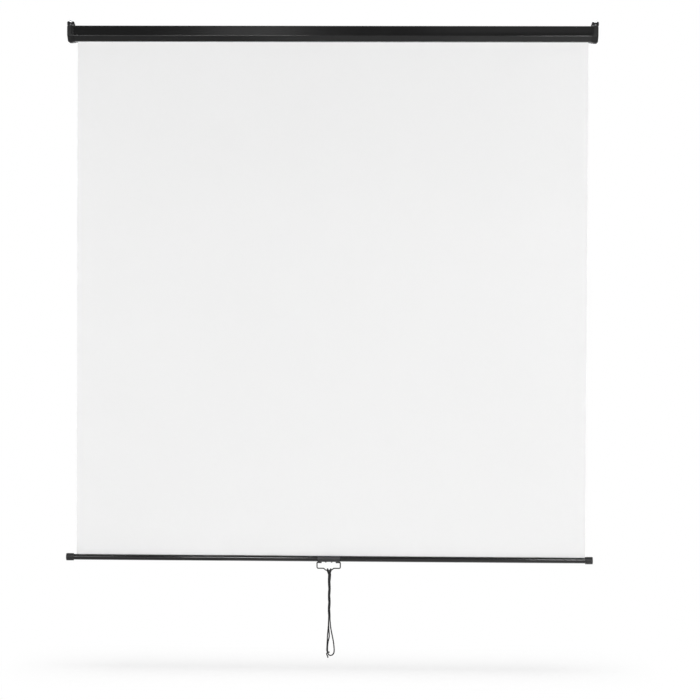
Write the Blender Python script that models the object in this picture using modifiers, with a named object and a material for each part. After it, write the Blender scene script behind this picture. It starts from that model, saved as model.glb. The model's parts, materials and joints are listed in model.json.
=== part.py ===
"""Roll-up projection screen: a spring roller in a steel case, a white sheet and a bar with a pull handle.

Metres, +Z up. X runs along the case, the front faces -Y, and the case's flat back lies on Y = 0.
"""

import math

import bmesh
import bpy
from mathutils import Matrix, Vector

# Clearances
GAP = 0.0003
HOLE_GAP = 0.0003

# Sheet
SHEET_WIDTH = 1.550
SHEET_THICKNESS = 0.00035
SPARE_TURNS = 1.75

# Case: a thin steel section, open along the bottom at the back
CASE_HEIGHT = 0.0458
AXIS_HEIGHT = 0.0226
CASE_DEPTH = 0.050
CASE_WALL = 0.001
CASE_OVERHANG = 0.0139
CASE_FRONT_HEIGHT = 0.0307
CASE_SLANT_DEPTH = 0.016
CASE_TOP_RADIUS = 0.003
CASE_BACK_RADIUS = 0.0015
CASE_CREASE_RADIUS = 0.0025
SLOT_REAR_LIP = 0.004
SLOT_WIDTH = 0.013
SLOT_LIP_HEIGHT = 0.003
SLOT_LIP_RADIUS = 0.0012

# End caps
CAP_WALL = 0.0019
CAP_BOTTOM_WALL = 0.0022
CAP_COLLAR = 0.0065
CAP_PLATE = 0.0133
CAP_POCKET_WALL = 0.0045
CAP_POCKET_DEPTH = 0.0080
CAP_CORNER_RADIUS = 0.0060
CAP_DOME = 0.0050
CAP_DOME_STEPS = 4
BOSS_RADIUS = 0.0080
BOSS_REACH = 0.0027
SOCKET_DEPTH = 0.0110

# Lug on top of each end cap, seen from the front
LUG_CENTRE_INSET = 0.0082
LUG_WIDTH = 0.0197
LUG_FOOT = 0.0040
LUG_FOOT_HEIGHT = 0.0015
LUG_HEIGHT = 0.0153
LUG_OUTSET = 0.0023
LUG_WAIST = 0.0040
LUG_WAIST_DEPTH = 0.0028
LUG_DEPTH = 0.0140
LUG_EDGE = 0.0008
HORN_GAP = 0.0115
HORN_HEIGHT = 0.0024
INNER_HORN_DROP = 0.0006
LUG_CHAMFER = 0.0024

# Hanger ring and the screw that holds it in the lug
RING_WIRE = 0.0022
RING_WIDTH = 0.0109
RING_RISE = 0.0057
RING_CORNER = 0.0032
RING_SIDE_GAP = 0.0004
RING_FLOOR = 0.0008
HANGER_SCREW_RADIUS = 0.0015
HANGER_SCREW_HEAD = 0.0025
HANGER_SCREW_HEAD_HEIGHT = 0.0018
HANGER_SCREW_LENGTH = 0.0120

# Screws
SCREW_CROWN = 0.6
CAP_SCREW_RADIUS = 0.0013
CAP_SCREW_HEAD = 0.0025
CAP_SCREW_HEAD_HEIGHT = 0.0016
CAP_SCREW_LENGTH = 0.0050
CAP_SCREW_SPACING = 0.032

# Roller, its shaft and its spring
ROLLER_SETBACK = 0.0265
ROLLER_RADIUS = 0.013
ROLLER_WALL = 0.0008
ROLLER_OVERHANG = 0.002
PLUG_FLANGE_RADIUS = 0.0145
PLUG_FLANGE = 0.002
PLUG_LENGTH = 0.022
PLUG_NOSE = 0.010
SHAFT_RADIUS = 0.003
SHAFT_PAST_BUSH = 0.0111
TANG_THICKNESS = 0.0036
TANG_WIDTH = 0.0048
SPRING_WIRE = 0.0014
SPRING_RADIUS = 0.0059
SPRING_TURNS = 24
SPRING_PITCH = 0.005
SPRING_POINTS_PER_TURN = 8
COLLAR_RADIUS = 0.009
COLLAR_LENGTH = 0.008
COLLAR_NOSE = 0.012
BUSH_LENGTH = 0.010
BUSH_SPACE = 0.004
IDLER_SHOULDER = 0.005
IDLER_ENGAGED = 0.020

# Ratchet lock
RATCHET_RADIUS = 0.0075
RATCHET_WIDTH = 0.0038
RATCHET_HUB = 0.0050
RATCHET_NOTCHES = 6
STEPS_PER_NOTCH = 6
NOTCH_WIDTH = 0.0034
NOTCH_DEPTH = 0.0018
PAWL_PIVOT_Y = -0.0072
PAWL_PIVOT_Z = -0.0082
PAWL_PIN_RADIUS = 0.0011
PAWL_EYE = 0.0026
PAWL_WIDTH = 0.0032
PAWL_ARM_TOP = -0.0090
PAWL_ARM_THICKNESS = 0.0024
PAWL_ARM_END = 0.0013
PAWL_NOSE_HALF = 0.0011
PAWL_NOSE_HEIGHT = 0.0009

# Bar at the bottom of the sheet
BAR_DROP = 1.5925
BAR_SHIFT = -0.0042
BAR_RADIUS = 0.0087
BAR_WALL = 0.0012
BAR_OVERHANG = 0.0231
BAR_SLOT = 0.0016
BAR_CAP_RADIUS = 0.01115
BAR_CAP_LENGTH = 0.0225
BAR_CAP_END = 0.0042
BAR_CAP_EDGE = 0.0015
HEM_ROD_RADIUS = 0.002
HEM_ROD_OVERHANG = 0.003
HEM_RISE = 0.0005

# Pull handle
SADDLE_LENGTH = 0.0676
SADDLE_WALL = 0.001
SADDLE_OPENING_DEG = 25
SADDLE_SCREW_SPACING = 0.0178
SADDLE_SCREW_RADIUS = 0.0012
SADDLE_SCREW_HEAD = 0.0025
SADDLE_SCREW_HEAD_HEIGHT = 0.0014
SADDLE_SCREW_LENGTH = 0.0050
KNUCKLE_LENGTH = 0.0123
KNUCKLE_RADIUS = 0.00255
BAIL_WIRE = 0.003
BAIL_PIVOT_DROP = 0.0112
BAIL_PIN_LENGTH = 0.0090
BAIL_DROP = 0.0182
BAIL_CORNER = 0.0040
BAIL_PIN_CORNER = 0.0020
BAIL_DIP = 0.0056
BAIL_DIP_FLAT = 0.0172
BAIL_DIP_WIDTH = 0.0310
BAIL_DIP_RADIUS = 0.0030

# Pull cord, in metres from the middle of the bail's dip
CORD_DIAMETER = 0.0033
CORD_LEAST_GAP = 0.0004
CORD_PAST = 0.0085
CORD_LEAD = 0.0024
KNOT_LEAD = 0.0012
STRAND_STEP = 0.0072
KNOT_STEP = 0.0021
CORE_STEP = 0.0005
TWIST_RADIUS = 0.0024
TWIST_TOP = -0.0138
TWIST_BOTTOM = -0.1400
TWIST_OFFSET = 0.0024
TWIST_LEAN = -0.0002
TWIST_TURNS = 1
TWIST_POINTS = 10
RIGHT_PHASE_DEG = 0
BACK_PHASE_DEG = 120
FRONT_PHASE_DEG = 240
HITCH_SHIFT = 0.0016
HITCH_HALF = (
    (0.0000, -0.0037, -0.0047),
    (0.0030, -0.0038, -0.0041),
    (0.0046, -0.0037, -0.0014),
    (0.0048, -0.0030, 0.0021),
    (0.0048, 0.0000, 0.0037),
    (0.0047, 0.0031, 0.0020),
    (0.0041, 0.0036, -0.0030),
    (0.0024, 0.0016, -0.0080),
)
LOOP_ROUTE = (
    (0.0047, -0.0002, -0.1520),
    (0.0060, -0.0004, -0.1660),
    (0.0082, -0.0005, -0.1820),
    (0.0116, -0.0005, -0.1990),
    (0.0150, -0.0003, -0.2160),
    (0.0169, 0.0000, -0.2300),
    (0.0179, 0.0000, -0.2430),
    (0.0172, 0.0000, -0.2515),
    (0.0140, 0.0000, -0.2576),
    (0.0083, 0.0000, -0.2606),
    (0.0029, 0.0002, -0.2596),
    (-0.0008, 0.0008, -0.2552),
    (-0.0020, 0.0013, -0.2490),
    (-0.0024, 0.0017, -0.2400),
    (-0.0018, 0.0020, -0.2280),
    (-0.0002, 0.0022, -0.2165),
    (0.0022, 0.0023, -0.2060),
    (0.0024, 0.0022, -0.1950),
    (0.0012, 0.0021, -0.1800),
    (0.0006, 0.0021, -0.1600),
)
END_ROUTE = (
    (0.0004, -0.0020, -0.1600),
    (-0.0010, -0.0019, -0.1820),
    (-0.0026, -0.0017, -0.2000),
    (-0.0031, -0.0018, -0.2140),
    (-0.0038, -0.0019, -0.2280),
    (-0.0042, -0.0023, -0.2380),
    (-0.0044, -0.0026, -0.2440),
)
KNOT_TURNS = 0.75
KNOT_POINTS_PER_TURN = 10
KNOT_RADIUS = 0.0042
KNOT_TOP = -0.2484
KNOT_PITCH = 0.0085
KNOT_START_DEG = 252
TAIL_ROUTE = (
    (-0.0043, 0.0016, -0.2592),
    (-0.0018, 0.0003, -0.2635),
    (-0.0010, -0.0004, -0.2680),
)

# Facets
ROUND_STEPS = 32
SMALL_STEPS = 14
CORNER_STEPS = 4
WIRE_RESOLUTION = 3
CORD_RESOLUTION = 2
COIL_RESOLUTION = 1
SMOOTH_PIECES = 24
ROUND_PROFILE = 0.5
FACING = 0.5
MERGE = 0.00001
CUT_MARGIN = 0.002

# Places worked out from the sizes above
CASE_BOTTOM = -AXIS_HEIGHT
CASE_TOP = CASE_BOTTOM + CASE_HEIGHT
CASE_LENGTH = SHEET_WIDTH + 2 * CASE_OVERHANG
CASE_END = CASE_LENGTH / 2
CREASE_Z = CASE_TOP - CASE_FRONT_HEIGHT
CAP_SEAT = CASE_END + GAP
CAP_OUTER = CAP_SEAT + CAP_PLATE
CAP_INNER = CAP_SEAT - CAP_COLLAR
CAP_TOP = CASE_TOP + GAP + CAP_WALL
CAP_BOTTOM = CASE_BOTTOM - GAP - CAP_BOTTOM_WALL
BOSS_FACE = CAP_SEAT - BOSS_REACH
SOCKET_END = BOSS_FACE + SOCKET_DEPTH
LUG_OUTER = CAP_OUTER + LUG_OUTSET
LUG_CENTRE = CAP_OUTER - LUG_CENTRE_INSET
LUG_TOP = CASE_TOP + LUG_HEIGHT
LUG_FLOOR = LUG_TOP - HORN_HEIGHT
LUG_Y = -CASE_DEPTH / 2
RING_BOTTOM = CASE_TOP + GAP + RING_FLOOR + GAP
RING_TOP = LUG_TOP + RING_RISE
HANGER_SCREW_Z = RING_BOTTOM + RING_WIRE + GAP + HANGER_SCREW_RADIUS
ROLLER_Y = -ROLLER_SETBACK
ROLLER_END = SHEET_WIDTH / 2 + ROLLER_OVERHANG
ROLLER_BORE = ROLLER_RADIUS - ROLLER_WALL
FLANGE_INNER = ROLLER_END + GAP
FLANGE_OUTER = FLANGE_INNER + PLUG_FLANGE
PLUG_END = FLANGE_INNER - PLUG_LENGTH
SHAFT_HOLE = SHAFT_RADIUS + HOLE_GAP
SHAFT_END = SOCKET_END - GAP
SPRING_SEAT = SPRING_RADIUS * math.cos(math.pi / SPRING_POINTS_PER_TURN) - SPRING_WIRE / 2 - GAP
SPRING_START = PLUG_END - GAP - SPRING_WIRE / 2
SPRING_END = SPRING_START - SPRING_TURNS * SPRING_PITCH
COLLAR_FACE = SPRING_END - SPRING_WIRE / 2 - GAP
BUSH_FACE = COLLAR_FACE - COLLAR_LENGTH - BUSH_SPACE
WRAP_RADIUS = ROLLER_RADIUS + GAP
WRAP_PITCH = SHEET_THICKNESS + GAP
SHEET_FACE = WRAP_RADIUS + SPARE_TURNS * WRAP_PITCH
SHEET_Y = ROLLER_Y + SHEET_FACE + SHEET_THICKNESS / 2
BAR_LENGTH = SHEET_WIDTH + 2 * BAR_OVERHANG
BAR_BORE = BAR_RADIUS - BAR_WALL
HEM_RADIUS = HEM_ROD_RADIUS + GAP + SHEET_THICKNESS
HEM_Z = BAR_BORE - GAP - HEM_RADIUS
HEM_TOP = BAR_RADIUS + HEM_RISE
SADDLE_RADIUS = BAR_RADIUS + GAP + SADDLE_WALL
BAIL_LEG_X = SADDLE_LENGTH / 2 + GAP + BAIL_WIRE / 2
DIP_DROP = BAIL_DROP + BAIL_DIP

# Finishes: colour, roughness, metallic
BLACK_STEEL = ("black_steel", (0.014, 0.014, 0.015), 0.38, 0.6)
BLACK_PLASTIC = ("black_plastic", (0.018, 0.018, 0.019), 0.5, 0.0)
GREY_PLASTIC = ("grey_plastic", (0.22, 0.22, 0.23), 0.5, 0.0)
ZINC = ("zinc", (0.62, 0.63, 0.65), 0.35, 1.0)
SPRING_STEEL = ("spring_steel", (0.30, 0.30, 0.32), 0.4, 1.0)
WHITE_SHEET = ("white_sheet", (0.86, 0.86, 0.86), 0.85, 0.0)
BLACK_CORD = ("black_cord", (0.012, 0.012, 0.013), 0.8, 0.0)


def start_scene():
    """Empty the scene and make the two collections."""
    for thing in list(bpy.data.objects):
        bpy.data.objects.remove(thing, do_unlink=True)
    groups = []
    for name in ("projection_screen", "cutters"):
        group = bpy.data.collections.new(name)
        bpy.context.scene.collection.children.link(group)
        groups.append(group)
    return groups


PARTS, CUTTERS = start_scene()


def finish_of(name, finish):
    """Give each piece its own Principled material."""
    kind, colour, roughness, metallic = finish
    material = bpy.data.materials.new(f"{name}_{kind}")
    material.use_nodes = True
    shader = material.node_tree.nodes["Principled BSDF"]
    shader.inputs["Base Color"].default_value = (*colour, 1.0)
    shader.inputs["Roughness"].default_value = roughness
    shader.inputs["Metallic"].default_value = metallic
    return material


def axis_empty(name, place, parent=None):
    """An empty on a joint's axis, at a place in the world."""
    empty = bpy.data.objects.new(name, None)
    empty.parent = parent
    empty.location = Vector(place) - (parent.matrix_world.translation if parent else Vector())
    PARTS.objects.link(empty)
    bpy.context.view_layer.update()
    return empty


def part(name, data, finish, parent):
    """A finished piece, placed in its parent's frame."""
    piece = bpy.data.objects.new(name, data)
    piece.data.name = name
    piece.data.materials.clear()
    piece.data.materials.append(finish_of(name, finish))
    piece.parent = parent
    PARTS.objects.link(piece)
    return piece


def tool(mesh, parent):
    """A hidden piece that cuts or joins another."""
    cutter = bpy.data.objects.new("tool", mesh)
    cutter.parent = parent
    cutter.hide_render = True
    cutter.display_type = "WIRE"
    CUTTERS.objects.link(cutter)
    return cutter


def boolean(piece, mesh, operation):
    """Cut a piece with a mesh in the same frame, or join the mesh to it."""
    step = piece.modifiers.new(operation.lower(), "BOOLEAN")
    step.operation = operation
    step.solver = "EXACT"
    step.object = tool(mesh, piece.parent)


def cut(piece, mesh):
    boolean(piece, mesh, "DIFFERENCE")


def join(piece, mesh):
    boolean(piece, mesh, "UNION")


def rounded(corners, radii, closed=True):
    """Points along a flat outline whose corners are arcs of the given radii."""
    points = []
    count = len(corners)
    for index, (corner, radius) in enumerate(zip(corners, radii)):
        at_end = not closed and index in (0, count - 1)
        here = Vector(corner)
        if at_end or radius == 0:
            points.append(here)
            continue
        back = (Vector(corners[index - 1]) - here).normalized()
        ahead = (Vector(corners[(index + 1) % count]) - here).normalized()
        half = back.angle(ahead) / 2
        centre = here + (back + ahead).normalized() * radius / math.sin(half)
        first = here + back * radius / math.tan(half) - centre
        turn = first.angle_signed(here + ahead * radius / math.tan(half) - centre)
        for step in range(CORNER_STEPS + 1):
            spun = Matrix.Rotation(-turn * step / CORNER_STEPS, 2) @ first
            points.append(centre + spun)
    return points


def flat_mesh(outlines, low, high, plane):
    """A mesh of closed outlines in the YZ or XZ plane, run along the third axis from low to high."""
    curve = bpy.data.curves.new("outline", "CURVE")
    curve.dimensions = "2D"
    curve.fill_mode = "BOTH"
    curve.extrude = (high - low) / 2
    for outline in outlines:
        spline = curve.splines.new("POLY")
        spline.points.add(len(outline) - 1)
        spline.use_cyclic_u = True
        for slot, point in zip(spline.points, outline):
            slot.co = (point[0], point[1], 0.0, 1.0)
    turn = {
        "YZ": Matrix(((0, 0, 1), (1, 0, 0), (0, 1, 0))),
        "XZ": Matrix(((1, 0, 0), (0, 0, -1), (0, 1, 0))),
    }[plane]
    along = {"YZ": Vector((1, 0, 0)), "XZ": Vector((0, 1, 0))}[plane]
    place = Matrix.Translation(along * (low + high) / 2) @ turn.to_4x4()
    return mesh_of(curve, place)


def mesh_of(curve, place=None):
    """Make a curve a welded mesh, and remove the curve."""
    holder = bpy.data.objects.new("curve", curve)
    bpy.context.scene.collection.objects.link(holder)
    graph = bpy.context.evaluated_depsgraph_get()
    mesh = bpy.data.meshes.new_from_object(holder.evaluated_get(graph))
    bpy.data.objects.remove(holder, do_unlink=True)
    bpy.data.curves.remove(curve)
    work = bmesh.new()
    work.from_mesh(mesh)
    bmesh.ops.remove_doubles(work, verts=work.verts, dist=MERGE)
    if place:
        bmesh.ops.transform(work, matrix=place, verts=work.verts)
    bmesh.ops.recalc_face_normals(work, faces=work.faces)
    work.to_mesh(mesh)
    work.free()
    return mesh


def cylinder_mesh(radius, low, high, axis="X", centre=(0.0, 0.0), steps=ROUND_STEPS):
    """A closed cylinder from low to high along an axis. Centre holds the other two coordinates in order."""
    turn = {
        "X": Matrix.Rotation(math.pi / 2, 4, "Y"),
        "Y": Matrix.Rotation(-math.pi / 2, 4, "X"),
        "Z": Matrix.Identity(4),
    }[axis]
    middle = list(centre)
    middle.insert("XYZ".index(axis), (low + high) / 2)
    work = bmesh.new()
    place = Matrix.Translation(middle) @ turn
    bmesh.ops.create_cone(
        work, cap_ends=True, segments=steps, radius1=radius, radius2=radius, depth=high - low, matrix=place
    )
    mesh = bpy.data.meshes.new("cylinder")
    work.to_mesh(mesh)
    work.free()
    return mesh


def box_mesh(low, high):
    """A box between two corners."""
    low, high = Vector(low), Vector(high)
    place = Matrix.Translation((low + high) / 2) @ Matrix.Diagonal((*(high - low), 1.0))
    work = bmesh.new()
    bmesh.ops.create_cube(work, size=1.0, matrix=place)
    mesh = bpy.data.meshes.new("box")
    work.to_mesh(mesh)
    work.free()
    return mesh


def turned_mesh(profile, steps, place=None):
    """Turn a profile of (along, radius) points about X into a closed mesh."""
    mesh = bpy.data.meshes.new("profile")
    work = bmesh.new()
    corners = [work.verts.new((along, 0.0, radius)) for along, radius in profile]
    for first, second in zip(corners, corners[1:]):
        work.edges.new((first, second))
    if profile[0][1] > 0:
        work.edges.new((corners[-1], corners[0]))
    work.to_mesh(mesh)
    work.free()
    holder = bpy.data.objects.new("turned", mesh)
    spin = holder.modifiers.new("turn", "SCREW")
    spin.axis = "X"
    spin.steps = steps
    spin.render_steps = steps
    spin.use_merge_vertices = True
    spin.merge_threshold = MERGE
    bpy.context.scene.collection.objects.link(holder)
    graph = bpy.context.evaluated_depsgraph_get()
    result = bpy.data.meshes.new_from_object(holder.evaluated_get(graph))
    bpy.data.objects.remove(holder, do_unlink=True)
    bpy.data.meshes.remove(mesh)
    work = bmesh.new()
    work.from_mesh(result)
    bmesh.ops.remove_doubles(work, verts=work.verts, dist=MERGE)
    bmesh.ops.recalc_face_normals(work, faces=work.faces)
    if place:
        bmesh.ops.transform(work, matrix=place, verts=work.verts)
    work.to_mesh(result)
    work.free()
    return result


def section_mesh(points, length, centre=0.0):
    """An open strip: a flat path in the YZ plane, run along X."""
    work = bmesh.new()
    start = centre - length / 2
    path = [work.verts.new((start, point[0], point[1])) for point in points]
    edges = [work.edges.new(pair) for pair in zip(path, path[1:])]
    grown = bmesh.ops.extrude_edge_only(work, edges=edges)["geom"]
    moved = [item for item in grown if isinstance(item, bmesh.types.BMVert)]
    bmesh.ops.translate(work, verts=moved, vec=(length, 0.0, 0.0))
    mesh = bpy.data.meshes.new("section")
    work.to_mesh(mesh)
    work.free()
    return mesh


def solidify(piece, wall):
    """Thicken a strip to one side."""
    step = piece.modifiers.new("wall", "SOLIDIFY")
    step.thickness = wall
    step.offset = 1.0
    step.use_even_offset = True
    step.use_quality_normals = True


def tube_curve(points, radius, resolution, closed=False):
    """A round wire through points, with filled ends."""
    curve = bpy.data.curves.new("wire", "CURVE")
    curve.dimensions = "3D"
    curve.bevel_depth = radius
    curve.bevel_resolution = resolution
    curve.use_fill_caps = not closed
    spline = curve.splines.new("POLY")
    spline.points.add(len(points) - 1)
    spline.use_cyclic_u = closed
    for slot, point in zip(spline.points, points):
        slot.co = (*point, 1.0)
    return curve


def screw_profile(radius, length, head, head_height):
    """The half outline of a pan-head screw whose seat is at 0 and whose head lies before it."""
    return (
        (-head_height, 0.0),
        (-head_height, head * SCREW_CROWN),
        (-head_height / 2, head),
        (0.0, head),
        (0.0, radius),
        (length - radius, radius),
        (length, 0.0),
    )


def screw_part(name, profile, place, direction, finish, parent):
    """A screw at a place, pointing along a direction."""
    turn = Vector(direction).to_track_quat("X", "Z").to_matrix().to_4x4()
    mesh = turned_mesh(profile, SMALL_STEPS, Matrix.Translation(place) @ turn)
    return part(name, mesh, finish, parent)


def case_path(grow=0.0):
    """The case's outer path, from the rear lip round to the front lip, moved outwards by grow."""
    slant = math.atan2(CASE_SLANT_DEPTH, CREASE_Z - CASE_BOTTOM)
    shift = grow * math.tan(slant / 2)
    front = -CASE_DEPTH - grow
    foot = -CASE_DEPTH + CASE_SLANT_DEPTH - grow * math.tan((math.pi / 2 - slant) / 2)
    lip = -SLOT_REAR_LIP - SLOT_WIDTH
    corners = (
        (-SLOT_REAR_LIP, CASE_BOTTOM - grow),
        (grow, CASE_BOTTOM - grow),
        (grow, CASE_TOP + grow),
        (front, CASE_TOP + grow),
        (front, CREASE_Z - shift),
        (foot, CASE_BOTTOM - grow),
        (lip, CASE_BOTTOM - grow),
        (lip, CASE_BOTTOM + SLOT_LIP_HEIGHT),
    )
    back = CASE_BACK_RADIUS + grow
    crease = CASE_CREASE_RADIUS + grow
    radii = (0, back, back, CASE_TOP_RADIUS + grow, crease, crease, SLOT_LIP_RADIUS + grow, 0)
    return corners, radii


def cap_screw_places(side):
    """Where the two screws of one end cap sit on its collar."""
    x = side * (CAP_SEAT - CAP_COLLAR / 2)
    return [(x, LUG_Y + way * CAP_SCREW_SPACING / 2, CAP_TOP + GAP) for way in (-1, 1)]


def make_case(root):
    corners, radii = case_path()
    mesh = section_mesh(rounded(corners, radii, closed=False), CASE_LENGTH)
    piece = part("case_profile", mesh, BLACK_STEEL, root)
    solidify(piece, CASE_WALL)
    hole = CAP_SCREW_RADIUS + HOLE_GAP
    for side in (-1, 1):
        for x, y, z in cap_screw_places(side):
            low = CASE_TOP - CASE_WALL - CUT_MARGIN
            cut(piece, cylinder_mesh(hole, low, z, "Z", (x, y), SMALL_STEPS))


def cap_outline():
    """The outline of an end cap, with its back flush with the case's back."""
    front = -CASE_DEPTH - GAP - CAP_WALL
    corners = (
        (0.0, CAP_BOTTOM),
        (0.0, CAP_TOP),
        (front, CAP_TOP),
        (front, CREASE_Z),
        (-CASE_DEPTH + CASE_SLANT_DEPTH, CAP_BOTTOM),
    )
    return rounded(corners, (CAP_CORNER_RADIUS,) * len(corners))


def domed(mesh, face_x):
    """Round the outer rim of a cap."""
    work = bmesh.new()
    work.from_mesh(mesh)
    rim = [
        edge
        for edge in work.edges
        if all(abs(corner.co.x - face_x) < MERGE for corner in edge.verts)
        and any(abs(face.normal.x) < FACING for face in edge.link_faces)
    ]
    bmesh.ops.bevel(
        work,
        geom=rim,
        offset=CAP_DOME,
        segments=CAP_DOME_STEPS,
        profile=ROUND_PROFILE,
        affect="EDGES",
        clamp_overlap=True,
    )
    bmesh.ops.remove_doubles(work, verts=work.verts, dist=MERGE)
    bmesh.ops.recalc_face_normals(work, faces=work.faces)
    work.to_mesh(mesh)
    work.free()
    return mesh


def span(side, near, far):
    """The low and high ends of a run from near to far on one side."""
    return sorted((side * near, side * far))


def lug_mesh(side):
    """The lug, as an outline seen from the front."""
    inner = LUG_OUTER - LUG_WIDTH
    foot = inner - LUG_FOOT
    half = HORN_GAP / 2
    base = CASE_TOP + GAP
    outline = (
        (foot, base),
        (foot, base + LUG_FOOT_HEIGHT),
        (inner, LUG_TOP - INNER_HORN_DROP),
        (LUG_CENTRE - half, LUG_TOP - INNER_HORN_DROP),
        (LUG_CENTRE - half, LUG_FLOOR),
        (LUG_CENTRE + half, LUG_FLOOR),
        (LUG_CENTRE + half, LUG_TOP),
        (LUG_OUTER - LUG_CHAMFER, LUG_TOP),
        (LUG_OUTER, LUG_TOP - LUG_CHAMFER),
        (LUG_OUTER, base + LUG_WAIST),
        (LUG_OUTER - LUG_WAIST_DEPTH, base),
    )
    sided = [(side * x, z) for x, z in outline]
    mesh = flat_mesh([sided], LUG_Y - LUG_DEPTH / 2, LUG_Y + LUG_DEPTH / 2, "XZ")
    work = bmesh.new()
    work.from_mesh(mesh)
    sides = [face for face in work.faces if abs(face.normal.y) > FACING]
    rims = {edge for face in sides for edge in face.edges}
    outer = [edge for edge in rims if not all(other in sides for other in edge.link_faces)]
    bmesh.ops.bevel(work, geom=outer, offset=LUG_EDGE, segments=1, profile=ROUND_PROFILE, affect="EDGES")
    work.to_mesh(mesh)
    work.free()
    return mesh


def make_end_cap(name, side, root):
    low, high = span(side, CAP_INNER, CAP_OUTER)
    mesh = domed(flat_mesh([cap_outline()], low, high, "YZ"), side * CAP_OUTER)
    piece = part(name, mesh, BLACK_PLASTIC, root)

    corners, radii = case_path(GAP)
    around = list(corners[1:6])
    bends = list(radii[1:6])
    around[0] = (CUT_MARGIN, around[0][1])
    around[1] = (CUT_MARGIN, around[1][1])
    low, high = span(side, CAP_INNER - CUT_MARGIN, CAP_SEAT)
    cut(piece, flat_mesh([rounded(around, bends)], low, high, "YZ"))

    inset = CAP_POCKET_WALL
    pocket = (
        (-inset, CASE_BOTTOM + inset),
        (-inset, CASE_TOP - inset),
        (-CASE_DEPTH + inset, CASE_TOP - inset),
        (-CASE_DEPTH + inset, CREASE_Z),
        (-CASE_DEPTH + CASE_SLANT_DEPTH, CASE_BOTTOM + inset),
    )
    low, high = span(side, CAP_SEAT - CUT_MARGIN, CAP_SEAT + CAP_POCKET_DEPTH)
    cut(piece, flat_mesh([rounded(pocket, (inset,) * len(pocket))], low, high, "YZ"))

    low, high = span(side, BOSS_FACE, CAP_SEAT + CAP_POCKET_DEPTH + CUT_MARGIN)
    join(piece, cylinder_mesh(BOSS_RADIUS, low, high, "X", (ROLLER_Y, 0.0)))
    join(piece, lug_mesh(side))

    low, high = span(side, BOSS_FACE - CUT_MARGIN, SOCKET_END)
    if side < 0:
        half_y = TANG_WIDTH / 2 + HOLE_GAP
        half_z = TANG_THICKNESS / 2 + HOLE_GAP
        cut(piece, box_mesh((low, ROLLER_Y - half_y, -half_z), (high, ROLLER_Y + half_y, half_z)))
    else:
        cut(piece, cylinder_mesh(SHAFT_HOLE, low, high, "X", (ROLLER_Y, 0.0), SMALL_STEPS))

    half_x = RING_WIDTH / 2 + RING_SIDE_GAP
    half_y = RING_WIRE / 2 + RING_SIDE_GAP
    low, high = span(side, LUG_CENTRE - half_x, LUG_CENTRE + half_x)
    floor = RING_BOTTOM - GAP
    cut(piece, box_mesh((low, LUG_Y - half_y, floor), (high, LUG_Y + half_y, LUG_TOP + CUT_MARGIN)))

    front = LUG_Y - LUG_DEPTH / 2
    hole = HANGER_SCREW_RADIUS + HOLE_GAP
    deep = front + HANGER_SCREW_LENGTH
    centre = (side * LUG_CENTRE, HANGER_SCREW_Z)
    cut(piece, cylinder_mesh(hole, front - CUT_MARGIN, deep, "Y", centre, SMALL_STEPS))

    hole = CAP_SCREW_RADIUS + HOLE_GAP
    for x, y, z in cap_screw_places(side):
        cut(piece, cylinder_mesh(hole, CASE_TOP - CUT_MARGIN, z + CUT_MARGIN, "Z", (x, y), SMALL_STEPS))


def make_hanger(word, side, root):
    """The steel ring in one lug and the screw through it."""
    half = RING_WIDTH / 2 - RING_WIRE / 2
    low = RING_BOTTOM + RING_WIRE / 2
    high = RING_TOP - RING_WIRE / 2
    centre = side * LUG_CENTRE
    corners = ((centre - half, low), (centre + half, low), (centre + half, high), (centre - half, high))
    loop = [(x, LUG_Y, z) for x, z in rounded(corners, (RING_CORNER,) * len(corners))]
    part(f"{word}_hanger_ring", tube_curve(loop, RING_WIRE / 2, CORD_RESOLUTION, closed=True), ZINC, root)
    profile = screw_profile(
        HANGER_SCREW_RADIUS, HANGER_SCREW_LENGTH - GAP, HANGER_SCREW_HEAD, HANGER_SCREW_HEAD_HEIGHT
    )
    seat = (centre, LUG_Y - LUG_DEPTH / 2 - GAP, HANGER_SCREW_Z)
    screw_part(f"{word}_hanger_screw", profile, seat, (0, 1, 0), ZINC, root)


def make_cap_screws(word, side, root):
    profile = screw_profile(CAP_SCREW_RADIUS, CAP_SCREW_LENGTH, CAP_SCREW_HEAD, CAP_SCREW_HEAD_HEIGHT)
    for label, seat in zip(("front", "back"), cap_screw_places(side)):
        screw_part(f"{word}_{label}_cap_screw", profile, seat, (0, 0, -1), ZINC, root)


def make_spring_shaft(seat):
    """The fixed shaft at the left end, with a flat tang in the cap's socket."""
    outer = -BOSS_FACE + GAP
    inner = -BUSH_FACE + BUSH_LENGTH + SHAFT_PAST_BUSH
    piece = part("spring_shaft", cylinder_mesh(SHAFT_RADIUS, outer, inner), ZINC, seat)
    half_y = TANG_WIDTH / 2
    half_z = TANG_THICKNESS / 2
    join(piece, box_mesh((-SHAFT_END, -half_y, -half_z), (outer + CUT_MARGIN, half_y, half_z)))


def make_spring_collar(seat):
    nose = COLLAR_FACE + COLLAR_NOSE
    profile = (
        (-nose, SHAFT_HOLE),
        (-nose, SPRING_SEAT),
        (-COLLAR_FACE, SPRING_SEAT),
        (-COLLAR_FACE, COLLAR_RADIUS),
        (-COLLAR_FACE + COLLAR_LENGTH, COLLAR_RADIUS),
        (-COLLAR_FACE + COLLAR_LENGTH, SHAFT_HOLE),
    )
    part("spring_collar", turned_mesh(profile, ROUND_STEPS), ZINC, seat)


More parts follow.
